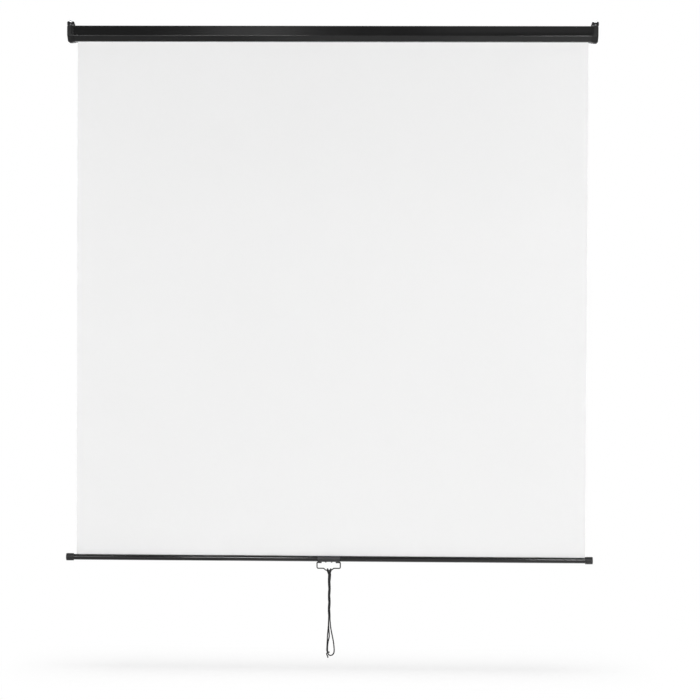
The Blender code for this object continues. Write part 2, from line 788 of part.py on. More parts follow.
def make_ratchet(seat):
    inner = -FLANGE_OUTER - GAP
    outer = inner - RATCHET_WIDTH
    profile = (
        (-BOSS_FACE + GAP, SHAFT_HOLE),
        (-BOSS_FACE + GAP, RATCHET_HUB),
        (outer, RATCHET_HUB),
        (outer, RATCHET_RADIUS),
        (inner, RATCHET_RADIUS),
        (inner, SHAFT_HOLE),
    )
    piece = part("ratchet_wheel", turned_mesh(profile, RATCHET_NOTCHES * STEPS_PER_NOTCH), ZINC, seat)
    for index in range(RATCHET_NOTCHES):
        low = (outer - CUT_MARGIN, -NOTCH_WIDTH / 2, -RATCHET_RADIUS - CUT_MARGIN)
        high = (inner + CUT_MARGIN, NOTCH_WIDTH / 2, -RATCHET_RADIUS + NOTCH_DEPTH)
        notch = box_mesh(low, high)
        notch.transform(Matrix.Rotation(math.tau * index / RATCHET_NOTCHES, 4, "X"))
        cut(piece, notch)


def make_idler_pin(seat):
    profile = (
        (FLANGE_OUTER - IDLER_ENGAGED, 0.0),
        (FLANGE_OUTER - IDLER_ENGAGED, SHAFT_RADIUS),
        (FLANGE_OUTER + GAP, SHAFT_RADIUS),
        (FLANGE_OUTER + GAP, IDLER_SHOULDER),
        (BOSS_FACE - GAP, IDLER_SHOULDER),
        (BOSS_FACE - GAP, SHAFT_RADIUS),
        (SHAFT_END, SHAFT_RADIUS),
        (SHAFT_END, 0.0),
    )
    part("idler_pin", turned_mesh(profile, ROUND_STEPS), ZINC, seat)


def make_roller_tube(roller):
    profile = (
        (-ROLLER_END, ROLLER_BORE),
        (-ROLLER_END, ROLLER_RADIUS),
        (ROLLER_END, ROLLER_RADIUS),
        (ROLLER_END, ROLLER_BORE),
    )
    part("roller_tube", turned_mesh(profile, ROUND_STEPS), ZINC, roller)


def make_roller_plug(name, side, roller):
    spigot = ROLLER_BORE - GAP
    profile = [
        (side * FLANGE_OUTER, SHAFT_HOLE),
        (side * FLANGE_OUTER, PLUG_FLANGE_RADIUS),
        (side * FLANGE_INNER, PLUG_FLANGE_RADIUS),
        (side * FLANGE_INNER, spigot),
        (side * PLUG_END, spigot),
    ]
    if side < 0:
        nose = PLUG_END - PLUG_NOSE
        profile += [(side * PLUG_END, SPRING_SEAT), (side * nose, SPRING_SEAT), (side * nose, SHAFT_HOLE)]
    else:
        profile += [(side * PLUG_END, SHAFT_HOLE)]
    piece = part(name, turned_mesh(profile, ROUND_STEPS), GREY_PLASTIC, roller)
    if side < 0:
        low, high = span(side, FLANGE_INNER - PLUG_LENGTH / 2, FLANGE_OUTER + CUT_MARGIN)
        centre = (PAWL_PIVOT_Y, PAWL_PIVOT_Z)
        cut(piece, cylinder_mesh(PAWL_PIN_RADIUS + HOLE_GAP, low, high, "X", centre, SMALL_STEPS))


def make_shaft_bush(roller):
    profile = (
        (-BUSH_FACE, SHAFT_HOLE),
        (-BUSH_FACE, ROLLER_BORE - GAP),
        (-BUSH_FACE + BUSH_LENGTH, ROLLER_BORE - GAP),
        (-BUSH_FACE + BUSH_LENGTH, SHAFT_HOLE),
    )
    part("shaft_bush", turned_mesh(profile, ROUND_STEPS), GREY_PLASTIC, roller)


def make_spring(roller):
    """One unbroken coil between the left plug and the collar on the shaft."""
    points = []
    for step in range(SPRING_TURNS * SPRING_POINTS_PER_TURN + 1):
        turn = step / SPRING_POINTS_PER_TURN
        angle = math.tau * turn
        along = -SPRING_START + turn * SPRING_PITCH
        points.append((along, SPRING_RADIUS * math.cos(angle), SPRING_RADIUS * math.sin(angle)))
    gaps = []
    for first, point in enumerate(points):
        for other in points[first + SPRING_POINTS_PER_TURN // 2 :]:
            gaps.append((Vector(point) - Vector(other)).length - SPRING_WIRE)
    print(f"torsion_spring least gap to itself: {min(gaps) * 1000:.2f} mm")
    part("torsion_spring", tube_curve(points, SPRING_WIRE / 2, COIL_RESOLUTION), SPRING_STEEL, roller)


def make_fabric_wrap(roller):
    """The turns of sheet that stay on the roller, ending where the sheet hangs off at the back."""
    inner, outer = [], []
    steps = round(SPARE_TURNS * ROUND_STEPS)
    for step in range(steps + 1):
        turn = SPARE_TURNS * step / steps
        angle = math.tau * (SPARE_TURNS - turn)
        radius = WRAP_RADIUS + turn * WRAP_PITCH
        way = Vector((math.cos(angle), math.sin(angle)))
        inner.append(way * radius)
        outer.append(way * (radius + SHEET_THICKNESS))
    half = SHEET_WIDTH / 2
    part("fabric_wrap", flat_mesh([inner + outer[::-1]], -half, half, "YZ"), WHITE_SHEET, roller)


def make_pawl(pawl_axis, roller):
    """The pawl hangs below the ratchet and is drawn clear of it."""
    inner = -FLANGE_OUTER - GAP
    outer = inner - PAWL_WIDTH
    pin_inner = -FLANGE_INNER + PLUG_LENGTH / 2 - GAP
    centre = (PAWL_PIVOT_Y, PAWL_PIVOT_Z)
    pin = cylinder_mesh(PAWL_PIN_RADIUS, outer - GAP, pin_inner, "X", centre, SMALL_STEPS)
    part("pawl_pin", pin, ZINC, roller)

    eye = cylinder_mesh(PAWL_EYE, outer, inner, "X", steps=SMALL_STEPS)
    piece = part("lock_pawl", eye, ZINC, pawl_axis)
    arm_top = PAWL_ARM_TOP - PAWL_PIVOT_Z
    arm_end = PAWL_ARM_END - PAWL_PIVOT_Y
    nose_near = -PAWL_NOSE_HALF - PAWL_PIVOT_Y
    nose_far = PAWL_NOSE_HALF - PAWL_PIVOT_Y
    outline = (
        (0.0, arm_top - PAWL_ARM_THICKNESS / 2),
        (0.0, arm_top),
        (nose_near, arm_top),
        (nose_near, arm_top + PAWL_NOSE_HEIGHT),
        (nose_far, arm_top + PAWL_NOSE_HEIGHT),
        (arm_end, arm_top),
        (arm_end, arm_top - PAWL_ARM_THICKNESS),
        (PAWL_EYE / 2, arm_top - PAWL_ARM_THICKNESS),
    )
    join(piece, flat_mesh([outline], outer, inner, "YZ"))
    hole = PAWL_PIN_RADIUS + HOLE_GAP
    cut(piece, cylinder_mesh(hole, outer - CUT_MARGIN, inner + CUT_MARGIN, "X", steps=SMALL_STEPS))


def make_sheet(root):
    top = -GAP
    bottom = -BAR_DROP + HEM_TOP + GAP
    half = SHEET_WIDTH / 2
    front = SHEET_Y - SHEET_THICKNESS / 2
    mesh = box_mesh((-half, front, bottom), (half, front + SHEET_THICKNESS, top))
    part("screen_fabric", mesh, WHITE_SHEET, root)


def ring_path(radius, opening):
    """A path in the YZ plane round the bar, open at the top by an angle each way."""
    points = []
    for step in range(ROUND_STEPS + 1):
        angle = opening + (math.tau - 2 * opening) * step / ROUND_STEPS
        points.append((math.sin(angle) * radius, math.cos(angle) * radius))
    return points


def saddle_screw_places():
    return [(BAR_SHIFT + way * SADDLE_SCREW_SPACING / 2, 0.0, -SADDLE_RADIUS - GAP) for way in (-1, 1)]


def make_bar(bar):
    opening = math.asin(BAR_SLOT / 2 / BAR_RADIUS)
    mesh = section_mesh(ring_path(BAR_RADIUS, opening)[::-1], BAR_LENGTH, BAR_SHIFT)
    piece = part("bar_tube", mesh, BLACK_STEEL, bar)
    solidify(piece, BAR_WALL)
    hole = SADDLE_SCREW_RADIUS + HOLE_GAP
    for x, y, z in saddle_screw_places():
        cut(piece, cylinder_mesh(hole, z, -BAR_BORE + CUT_MARGIN, "Z", (x, y), SMALL_STEPS))


def make_bar_cap(name, side, bar):
    """A cup over one end of the bar."""
    tube_end = BAR_LENGTH / 2
    outer = tube_end + GAP + BAR_CAP_END
    inner = outer - BAR_CAP_LENGTH
    edge = BAR_CAP_EDGE
    bore = BAR_RADIUS + GAP
    profile = [(outer, 0.0)]
    for step in range(CORNER_STEPS + 1):
        angle = math.pi / 2 * step / CORNER_STEPS
        along = outer - edge + edge * math.cos(angle)
        profile.append((along, BAR_CAP_RADIUS - edge + edge * math.sin(angle)))
    profile += [(inner, BAR_CAP_RADIUS), (inner, bore), (tube_end + GAP, bore), (tube_end + GAP, 0.0)]
    sided = [(BAR_SHIFT + side * along, radius) for along, radius in profile]
    part(name, turned_mesh(sided, ROUND_STEPS), BLACK_PLASTIC, bar)


def make_hem(bar):
    """The sheet's hem, a loop round a rod with a tongue that goes up through the bar's slot."""
    half = SHEET_WIDTH / 2
    rod_half = half + HEM_ROD_OVERHANG
    rod = cylinder_mesh(HEM_ROD_RADIUS, -rod_half, rod_half, "X", (0.0, HEM_Z), SMALL_STEPS)
    part("hem_rod", rod, GREY_PLASTIC, bar)

    stem = math.asin(SHEET_THICKNESS / HEM_RADIUS)
    loop = [(SHEET_THICKNESS, HEM_TOP), (-SHEET_THICKNESS, HEM_TOP)]
    steps = SMALL_STEPS
    for step in range(steps + 1):
        angle = math.pi / 2 + stem + (math.tau - 2 * stem) * step / steps
        loop.append((HEM_RADIUS * math.cos(angle), HEM_Z + HEM_RADIUS * math.sin(angle)))
    hole = []
    bore = HEM_ROD_RADIUS + GAP
    for step in range(steps):
        angle = math.tau * step / steps
        hole.append((bore * math.cos(angle), HEM_Z + bore * math.sin(angle)))
    part("fabric_hem", flat_mesh([loop, hole], -half, half, "YZ"), WHITE_SHEET, bar)


def make_saddle(bar):
    path = ring_path(SADDLE_RADIUS, math.radians(SADDLE_OPENING_DEG))[::-1]
    piece = part("handle_saddle", section_mesh(path, SADDLE_LENGTH, BAR_SHIFT), BLACK_PLASTIC, bar)
    solidify(piece, SADDLE_WALL)
    bore = BAIL_WIRE / 2 + HOLE_GAP
    for side in (-1, 1):
        ends = [BAR_SHIFT + x for x in span(side, SADDLE_LENGTH / 2 - KNUCKLE_LENGTH, SADDLE_LENGTH / 2)]
        knuckle = cylinder_mesh(KNUCKLE_RADIUS, *ends, "X", (0.0, -BAIL_PIVOT_DROP), SMALL_STEPS)
        join(piece, knuckle)
    reach = SADDLE_LENGTH / 2 + CUT_MARGIN
    cut(piece, cylinder_mesh(BAR_RADIUS + GAP, BAR_SHIFT - reach, BAR_SHIFT + reach))
    for side in (-1, 1):
        ends = [BAR_SHIFT + x for x in span(side, SADDLE_LENGTH / 2 - KNUCKLE_LENGTH - CUT_MARGIN, reach)]
        cut(piece, cylinder_mesh(bore, *ends, "X", (0.0, -BAIL_PIVOT_DROP), SMALL_STEPS))
    hole = SADDLE_SCREW_RADIUS + HOLE_GAP
    for x, y, z in saddle_screw_places():
        cut(piece, cylinder_mesh(hole, z - CUT_MARGIN, -BAR_RADIUS, "Z", (x, y), SMALL_STEPS))
    profile = screw_profile(
        SADDLE_SCREW_RADIUS, SADDLE_SCREW_LENGTH, SADDLE_SCREW_HEAD, SADDLE_SCREW_HEAD_HEIGHT
    )
    for word, seat in zip(("left", "right"), saddle_screw_places()):
        screw_part(f"{word}_saddle_screw", profile, seat, (0, 0, 1), BLACK_STEEL, bar)


def make_bail(bail):
    """The bent wire handle, hung by its two inturned ends."""
    half = (
        (BAIL_LEG_X - BAIL_PIN_LENGTH, 0.0),
        (BAIL_LEG_X, 0.0),
        (BAIL_LEG_X, -BAIL_DROP),
        (BAIL_DIP_WIDTH / 2, -BAIL_DROP),
        (BAIL_DIP_FLAT / 2, -DIP_DROP),
    )
    bends = (0, BAIL_PIN_CORNER, BAIL_CORNER, BAIL_DIP_RADIUS, BAIL_DIP_RADIUS)
    corners = half + tuple((-x, z) for x, z in half[::-1])
    wire = [(x, 0.0, z) for x, z in rounded(corners, bends + bends[::-1], closed=False)]
    part("pull_bail", tube_curve(wire, BAIL_WIRE / 2, WIRE_RESOLUTION), BLACK_STEEL, bail)


def smooth(points, step):
    """Points at even steps along a smooth curve through the given points."""
    knots = [Vector(point) for point in points]
    knots = [knots[0] * 2 - knots[1]] + knots + [knots[-1] * 2 - knots[-2]]
    fine = []
    for before, start, end, after in zip(knots, knots[1:], knots[2:], knots[3:]):
        for index in range(SMOOTH_PIECES):
            t = index / SMOOTH_PIECES
            bend = (end - before) * t
            bend += (before * 2 - start * 5 + end * 4 - after) * t * t
            bend += (start * 3 - before - end * 3 + after) * t * t * t
            fine.append(start + bend / 2)
    fine.append(knots[-2])
    lengths = [0.0]
    for first, second in zip(fine, fine[1:]):
        lengths.append(lengths[-1] + (second - first).length)
    count = max(2, round(lengths[-1] / step))
    spread, place = [], 0
    for index in range(count + 1):
        want = lengths[-1] * index / count
        while place < len(lengths) - 2 and lengths[place + 1] < want:
            place += 1
        share = (want - lengths[place]) / (lengths[place + 1] - lengths[place])
        spread.append(fine[place].lerp(fine[place + 1], share))
    return spread


def twisted(phase_deg):
    """One strand of the twisted stretch, from the top down."""
    points = []
    for step in range(TWIST_POINTS + 1):
        share = step / TWIST_POINTS
        angle = math.radians(phase_deg) + math.tau * TWIST_TURNS * share
        x = TWIST_OFFSET + TWIST_LEAN * share + TWIST_RADIUS * math.cos(angle)
        z = TWIST_TOP + (TWIST_BOTTOM - TWIST_TOP) * share
        points.append((x, TWIST_RADIUS * math.sin(angle), z))
    return points


def hitch_route():
    """The hitch on the bail, from the top of the front strand to the top of the right strand."""
    left = [(HITCH_SHIFT - x, y, z) for x, y, z in HITCH_HALF[1:]]
    right = [(HITCH_SHIFT + x, y, z) for x, y, z in HITCH_HALF]
    ends = []
    for phase in (FRONT_PHASE_DEG, RIGHT_PHASE_DEG):
        x, y, z = twisted(phase)[0]
        ends.append([(x, y, z + GAP), (x, y, z + GAP + CORD_LEAD)])
    return ends[0] + left[::-1] + right + ends[1][::-1]


def rising(path):
    """The stretch of a loop past its lowest point."""
    lowest = min(path, key=lambda point: point.z)
    return path[path.index(lowest) :]


def knot_route(core):
    """From the end strand, three quarters of a turn round the loop's back strand, then the tail."""
    x, y, z = END_ROUTE[-1]
    points = [(x, y, z - GAP), (x, y, z - GAP - KNOT_LEAD)]
    steps = round(KNOT_TURNS * KNOT_POINTS_PER_TURN)
    for step in range(steps + 1):
        turn = KNOT_TURNS * step / steps
        z = KNOT_TOP - KNOT_PITCH * turn
        middle = min(core, key=lambda point: abs(point.z - z))
        angle = math.radians(KNOT_START_DEG) + math.tau * turn
        points.append((middle.x + KNOT_RADIUS * math.cos(angle), middle.y + KNOT_RADIUS * math.sin(angle), z))
    return points + list(TAIL_ROUTE)


def report_gap(chain):
    """Print the least gap of the whole cord to itself, past the bend at each point."""
    past = round(CORD_PAST / KNOT_STEP)
    least = []
    for first, point in enumerate(chain):
        for other in chain[first + past :]:
            least.append(((point - other).length - CORD_DIAMETER, point, other))
    gap, point, other = min(least, key=lambda found: found[0])
    print(f"cord least gap to itself: {gap * 1000:.2f} mm, wanted over {CORD_LEAST_GAP * 1000:.2f} mm")
    print(f"nearest places: {tuple(round(v, 4) for v in point)} and {tuple(round(v, 4) for v in other)}")


def make_cord(cord):
    loop_route = twisted(RIGHT_PHASE_DEG) + list(LOOP_ROUTE) + twisted(BACK_PHASE_DEG)[::-1]
    end_route = twisted(FRONT_PHASE_DEG) + list(END_ROUTE)
    core = rising(smooth(loop_route, CORE_STEP))
    routes = {
        "cord_hitch": (hitch_route(), KNOT_STEP),
        "pull_cord": (loop_route, STRAND_STEP),
        "pull_cord_end": (end_route, STRAND_STEP),
        "cord_knot": (knot_route(core), KNOT_STEP),
    }
    fine = {}
    for name, (route, step) in routes.items():
        part(name, tube_curve(smooth(route, step), CORD_DIAMETER / 2, CORD_RESOLUTION), BLACK_CORD, cord)
        fine[name] = smooth(route, KNOT_STEP)
    chain = fine["pull_cord"][::-1] + fine["cord_hitch"][::-1]
    report_gap(chain + fine["pull_cord_end"] + fine["cord_knot"])


def main():
    root = axis_empty("case_frame", (0.0, 0.0, 0.0))
    shaft_seat = axis_empty("shaft_seat", (0.0, ROLLER_Y, 0.0), root)
    roller = axis_empty("roller_axis", (0.0, ROLLER_Y, 0.0), root)
    pawl = axis_empty("pawl_axis", (0.0, ROLLER_Y + PAWL_PIVOT_Y, PAWL_PIVOT_Z), roller)
    bar = axis_empty("bar_axis", (0.0, SHEET_Y, -BAR_DROP), root)
    bail = axis_empty("bail_axis", (BAR_SHIFT, SHEET_Y, -BAR_DROP - BAIL_PIVOT_DROP), bar)
    cord_z = -BAR_DROP - BAIL_PIVOT_DROP - DIP_DROP
    cord = axis_empty("cord_axis", (BAR_SHIFT, SHEET_Y, cord_z), bail)

    make_case(root)
    for word, side in (("left", -1), ("right", 1)):
        make_end_cap(f"{word}_end_cap", side, root)
        make_hanger(word, side, root)
        make_cap_screws(word, side, root)
        make_roller_plug(f"{word}_roller_plug", side, roller)
        make_bar_cap(f"{word}_bar_cap", side, bar)
    make_spring_shaft(shaft_seat)
    make_spring_collar(shaft_seat)
    make_ratchet(shaft_seat)
    make_idler_pin(shaft_seat)
    make_roller_tube(roller)
    make_shaft_bush(roller)
    make_spring(roller)
    make_fabric_wrap(roller)
    make_pawl(pawl, roller)
    make_sheet(root)
    make_bar(bar)
    make_hem(bar)
    make_saddle(bar)
    make_bail(bail)
    make_cord(cord)
    bpy.context.view_layer.update()


main()
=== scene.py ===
import json
import math

import bmesh
import bpy
from mathutils import Matrix, Vector

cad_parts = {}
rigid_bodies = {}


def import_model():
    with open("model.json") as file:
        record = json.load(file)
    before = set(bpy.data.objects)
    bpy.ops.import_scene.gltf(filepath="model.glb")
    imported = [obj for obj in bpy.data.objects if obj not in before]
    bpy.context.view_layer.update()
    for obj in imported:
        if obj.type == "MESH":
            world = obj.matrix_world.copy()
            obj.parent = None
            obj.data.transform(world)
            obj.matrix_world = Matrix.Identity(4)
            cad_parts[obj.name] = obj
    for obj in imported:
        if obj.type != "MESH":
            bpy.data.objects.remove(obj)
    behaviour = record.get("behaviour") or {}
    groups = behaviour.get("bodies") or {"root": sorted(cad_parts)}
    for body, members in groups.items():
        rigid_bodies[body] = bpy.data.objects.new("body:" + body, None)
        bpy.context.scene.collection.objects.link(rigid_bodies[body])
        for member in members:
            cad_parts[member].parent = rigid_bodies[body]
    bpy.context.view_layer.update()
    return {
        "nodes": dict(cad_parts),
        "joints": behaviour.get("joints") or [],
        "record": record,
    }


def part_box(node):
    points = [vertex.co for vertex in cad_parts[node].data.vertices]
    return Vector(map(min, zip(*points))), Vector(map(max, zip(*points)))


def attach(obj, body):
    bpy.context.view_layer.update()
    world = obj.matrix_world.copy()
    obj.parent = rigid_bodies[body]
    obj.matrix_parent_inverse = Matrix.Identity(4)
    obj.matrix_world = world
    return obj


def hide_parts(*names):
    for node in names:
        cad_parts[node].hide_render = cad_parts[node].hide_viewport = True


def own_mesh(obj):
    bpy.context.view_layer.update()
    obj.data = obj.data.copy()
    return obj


bl_info = {
    "name": "Roll-up projection screen",
    "version": (1, 0, 0),
    "blender": (4, 5, 0),
    "location": "View3D > Sidebar > Screen",
    "description": "Dresses the packed projection screen: case, end caps, sheet, bar, wire handle and cord",
    "category": "Object",
}

for left_over in list(bpy.data.objects):
    bpy.data.objects.remove(left_over, do_unlink=True)
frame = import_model()

# Places read from the frame
CASE_LOW, CASE_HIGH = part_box("case_profile")
CAP_LOW, CAP_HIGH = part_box("right_end_cap")
RING_LOW, RING_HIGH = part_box("right_hanger_ring")
PIN_LOW, PIN_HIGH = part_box("idler_pin")
WRAP_LOW, WRAP_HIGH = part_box("fabric_wrap")
SHEET_LOW, SHEET_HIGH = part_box("screen_fabric")
BAR_LOW, BAR_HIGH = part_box("bar_tube")
BAR_CAP_LOW, BAR_CAP_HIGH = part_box("right_bar_cap")
HEM_LOW, HEM_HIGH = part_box("fabric_hem")
ROD_LOW, ROD_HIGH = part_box("hem_rod")
SADDLE_LOW, SADDLE_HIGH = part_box("handle_saddle")
BAIL_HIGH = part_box("pull_bail")[1]
JOINTS = {joint["name"]: joint for joint in frame["joints"]}
ROLLER_AXIS = Vector(JOINTS["roller_turn"]["pos_m"])
BAIL_AXIS = Vector(JOINTS["bail_swing"]["pos_m"])
CORD_AXIS = Vector(JOINTS["cord_swing"]["pos_m"])
BAR_AXIS = (BAR_CAP_LOW + BAR_CAP_HIGH) / 2
BAR_RADIUS = (BAR_HIGH.y - BAR_LOW.y) / 2
BAR_CAP_RADIUS = (BAR_CAP_HIGH.z - BAR_CAP_LOW.z) / 2
SADDLE_RADIUS = (SADDLE_HIGH.y - SADDLE_LOW.y) / 2
SADDLE_MIDDLE = (SADDLE_LOW.x + SADDLE_HIGH.x) / 2
RING_MIDDLE = (RING_LOW + RING_HIGH) / 2

# Facets and limits of the modelling
BEND_STEPS = 8
ROUND_STEPS = 64
WIRE_SIDES = 20
MERGE = 0.000002
CUT_MARGIN = 0.002
SMOOTH_BELOW = math.radians(32)
FACING = 0.9
SIDES = (("left", -1), ("right", 1))

# How far the fold's paler band reaches, and how pale it gets: rubbed paint and a painted highlight along
# the crease
RUB_AND_HIGHLIGHT_REACH = 0.0018
RUB_AND_HIGHLIGHT_SHARE = 2.0


def size_setting(name, description, default):
    """A size that a user may change."""
    return bpy.props.FloatProperty(name=name, description=description, default=default, unit="LENGTH")


def colour_setting(name, description, default):
    """A colour that a user may change."""
    return bpy.props.FloatVectorProperty(
        name=name, description=description, default=default, subtype="COLOR"
    )


class ScreenSizes(bpy.types.PropertyGroup):
    """Sizes of the screen's pieces that the frame doesn't give."""

    case_wall: size_setting("Case wall", "Thickness of the case's steel", 0.001)
    case_front: size_setting("Case front", "Height of the upright front", 0.0307)
    case_slant: size_setting("Case slant", "How far the lower front slants back", 0.016)
    slot_rear: size_setting("Rear lip", "Depth of the lip behind the sheet", 0.004)
    slot_width: size_setting("Slot", "Width of the slot for the sheet", 0.013)
    slot_lip: size_setting("Front lip", "Height of the turned-up lip before the sheet", 0.003)
    top_bend: size_setting("Top bend", "Radius of the case's upper front edge", 0.003)
    crease_bend: size_setting("Crease bend", "Radius of the crease across the front", 0.0038)
    back_bend: size_setting("Back bend", "Radius of the back edges", 0.0015)
    lip_bend: size_setting("Lip bend", "Radius of the lip's edge", 0.0012)
    cap_wall: size_setting("Cap wall", "How far an end cap stands over the case", 0.0022)
    cap_collar: size_setting("Cap collar", "Length of the collar on the case", 0.0065)
    cap_step: size_setting("Cap step", "Step from the cap's plate to its collar", 0.0006)
    cap_corner: size_setting("Cap corner", "Radius of the cap's corners", 0.006)
    cap_dome: size_setting("Cap dome", "Rounding of the cap's outer rim", 0.005)
    lug_depth: size_setting("Lug depth", "Depth of the lug, front to back", 0.014)
    lug_edge: size_setting("Lug edge", "Rounding of the lug's edges", 0.0008)
    sheet_curl: size_setting("Sheet curl", "How far the sheet's edges curl forwards", 0.003)
    sheet_ripple: size_setting("Sheet ripple", "Depth of the sheet's slow ripples", 0.0008)
    bar_wall: size_setting("Bar wall", "Wall of the bar's tube", 0.0012)
    bar_slot: size_setting("Bar slot", "Slot for the sheet along the bar", 0.0016)
    saddle_wall: size_setting("Saddle wall", "Wall of the clip on the bar", 0.001)
    pip_pitch: size_setting("Pip pitch", "Spacing of the grip pips on the clip", 0.0061)
    cord_diameter: size_setting("Cord", "Diameter of the braided cord", 0.0038)


class ScreenFinishes(bpy.types.PropertyGroup):
    """Colours of the screen's pieces."""

    paint: colour_setting("Paint", "Powder coat on the steel", (0.004, 0.004, 0.0041))
    plastic: colour_setting("Plastic", "Moulded end caps", (0.007, 0.007, 0.0072))
    clip: colour_setting("Clip", "The clip that carries the handle", (0.022, 0.022, 0.023))
    zinc: colour_setting("Zinc", "Plated rings and pins", (0.40, 0.41, 0.43))
    screw: colour_setting("Screws", "Dark plated screws of the end caps", (0.07, 0.07, 0.073))
    spring: colour_setting("Spring", "Drawn spring wire", (0.30, 0.30, 0.32))
    inner: colour_setting("Inner plastic", "Roller plugs and rod", (0.22, 0.22, 0.23))
    sheet: colour_setting("Sheet", "Front of the sheet", (0.86, 0.86, 0.86))
    sheet_back: colour_setting("Sheet back", "Back of the sheet", (0.70, 0.70, 0.71))
    cord: colour_setting("Cord", "Braided cord", (0.006, 0.006, 0.0064))
    floor: colour_setting("Floor", "Studio floor", (0.93, 0.93, 0.93))


class Value:
    """A shader socket that can stand in a sum."""

    def __init__(self, recipe, socket):
        self.recipe = recipe
        self.socket = socket

    def __add__(self, other):
        return self.recipe.maths("ADD", self, other)

    def __sub__(self, other):
        return self.recipe.maths("SUBTRACT", self, other)

    def __mul__(self, other):
        return self.recipe.maths("MULTIPLY", self, other)

    def __rsub__(self, other):
        return self.recipe.maths("SUBTRACT", other, self)

    __radd__ = __add__
    __rmul__ = __mul__


class Recipe:
    """One node tree, and the method that adds nodes to it."""

    def __init__(self, tree):
        self.tree = tree

    def node(self, kind, settings=(), sockets=(), out=0):
        """Add a node: its type, then its settings, then the values or links of its sockets."""
        made = self.tree.nodes.new(kind)
        for name, setting in dict(settings).items():
            setattr(made, name, setting)
        for name, value in dict(sockets).items():
            if isinstance(value, Value):
                self.tree.links.new(value.socket, made.inputs[name])
            else:
                made.inputs[name].default_value = value
        return Value(self, made.outputs[out]) if made.outputs else made

    def maths(self, operation, first, second):
        return self.node("ShaderNodeMath", {"operation": operation}, {0: first, 1: second})

    def blend(self, share, first, second):
        """Mix two colours."""
        colours = [(*c, 1.0) if not isinstance(c, Value) else c for c in (first, second)]
        sockets = {0: share, 6: colours[0], 7: colours[1]}
        return self.node("ShaderNodeMix", {"data_type": "RGBA"}, sockets, out=2)

    def spread(self, value, low, high, to_low=0.0, to_high=1.0):
        """Stretch part of a value's range, and hold it at the ends."""
        sockets = {0: value, 1: low, 2: high, 3: to_low, 4: to_high}
        return self.node("ShaderNodeMapRange", {"clamp": True}, sockets)

    def noise(self, coordinates, scale, detail=2.0):
        sockets = {"Vector": coordinates, "Scale": scale, "Detail": detail}
        return self.node("ShaderNodeTexNoise", {}, sockets)

    def places(self, stretch=(1.0, 1.0, 1.0)):
        """The piece's own coordinates, stretched along its axes."""
        own = self.node("ShaderNodeTexCoord", out="Object")
        return self.node("ShaderNodeMapping", {}, {"Vector": own, "Scale": stretch})

    def part(self, split, index):
        """X, Y or Z of a split vector."""
        return Value(self, split.socket.node.outputs[index])

    def size_of(self, value):
        """A value without its sign."""
        return self.node("ShaderNodeMath", {"operation": "ABSOLUTE"}, {0: value})

    def sine(self, value):
        return self.node("ShaderNodeMath", {"operation": "SINE"}, {0: value})

    def bump(self, height, strength, distance):
        sockets = {"Height": height, "Strength": strength, "Distance": distance}
        return self.node("ShaderNodeBump", {}, sockets)


def finish(name, constants, make):
    """A Principled material: constants on its own sockets, and links to what varies over the surface."""
    material = bpy.data.materials.new(name)
    material.use_nodes = True
    shader = material.node_tree.nodes["Principled BSDF"]
    for socket, value in constants.items():
        shader.inputs[socket].default_value = value
    recipe = Recipe(material.node_tree)
    for socket, value in make(recipe).items():
        material.node_tree.links.new(value.socket, shader.inputs[socket])
    return material


def lighter(colour, by):
    """A colour moved towards white by a share."""
    return tuple(part + (1.0 - part) * by for part in colour)


def powder_coat(name, colour, roughness, specular=0.1, fold=None):
    """Baked powder on steel: fine orange peel, slow changes of gloss, and a paler fold that is rubbed paint
    and a painted highlight.
    """

    def make(recipe):
        where = recipe.places()
        peel = recipe.noise(where, scale=1400.0, detail=1.0)
        cloud = recipe.noise(where, scale=9.0)
        grain = recipe.noise(where, scale=5200.0, detail=0.0)
        shade = recipe.spread(grain, 0.62, 0.78, to_high=0.5) + cloud * 0.3
        if fold is not None:
            split = recipe.node("ShaderNodeSeparateXYZ", {}, {0: where})
            away = recipe.size_of(recipe.part(split, 2) - fold)
            # Paler paint along the fold: a painted highlight on the crease, and rubbed paint as well
            rub_and_highlight = recipe.spread(away, 0.0, RUB_AND_HIGHLIGHT_REACH, to_low=RUB_AND_HIGHLIGHT_SHARE, to_high=0.0)
            shade = shade + rub_and_highlight * (0.5 + cloud)
        return {
            "Base Color": recipe.blend(shade, colour, lighter(colour, 0.006)),
            "Roughness": roughness - 0.06 + 0.08 * cloud + 0.05 * peel,
            "Normal": recipe.bump(peel, strength=0.15, distance=0.00012),
        }

    return finish(name, {"Specular IOR Level": specular}, make)


def moulded(name, colour, roughness, specular=0.14):
    """Moulded plastic with a fine spark-eroded grain and a few handling marks."""

    def make(recipe):
        where = recipe.places()
        grain = recipe.noise(where, scale=3600.0)
        cloud = recipe.noise(where, scale=40.0)
        scratches = recipe.noise(recipe.places((1.0, 1.0, 9.0)), scale=160.0, detail=3.0)
        marks = recipe.spread(scratches, 0.6, 0.75)
        return {
            "Base Color": recipe.blend(cloud * 0.5 + marks * 0.3, colour, lighter(colour, 0.01)),
            "Roughness": roughness - 0.05 + 0.12 * grain - 0.05 * marks,
            "Normal": recipe.bump(grain, strength=0.3, distance=0.00008),
        }

    return finish(name, {"Specular IOR Level": specular}, make)


def plated(name, colour, roughness, tint):
    """Plated or drawn steel: fine lines along the piece and a faint passivated tint."""

    def make(recipe):
        lines = recipe.noise(recipe.places((30.0, 1.0, 1.0)), scale=700.0, detail=3.0)
        cloud = recipe.spread(recipe.noise(recipe.places(), scale=260.0), 0.35, 0.7)
        return {
            "Base Color": recipe.blend(cloud * 0.6, colour, tint),
            "Roughness": roughness + 0.14 * lines - 0.05 * cloud,
            "Normal": recipe.bump(lines, strength=0.15, distance=0.00004),
        }

    return finish(name, {"Metallic": 1.0}, make)


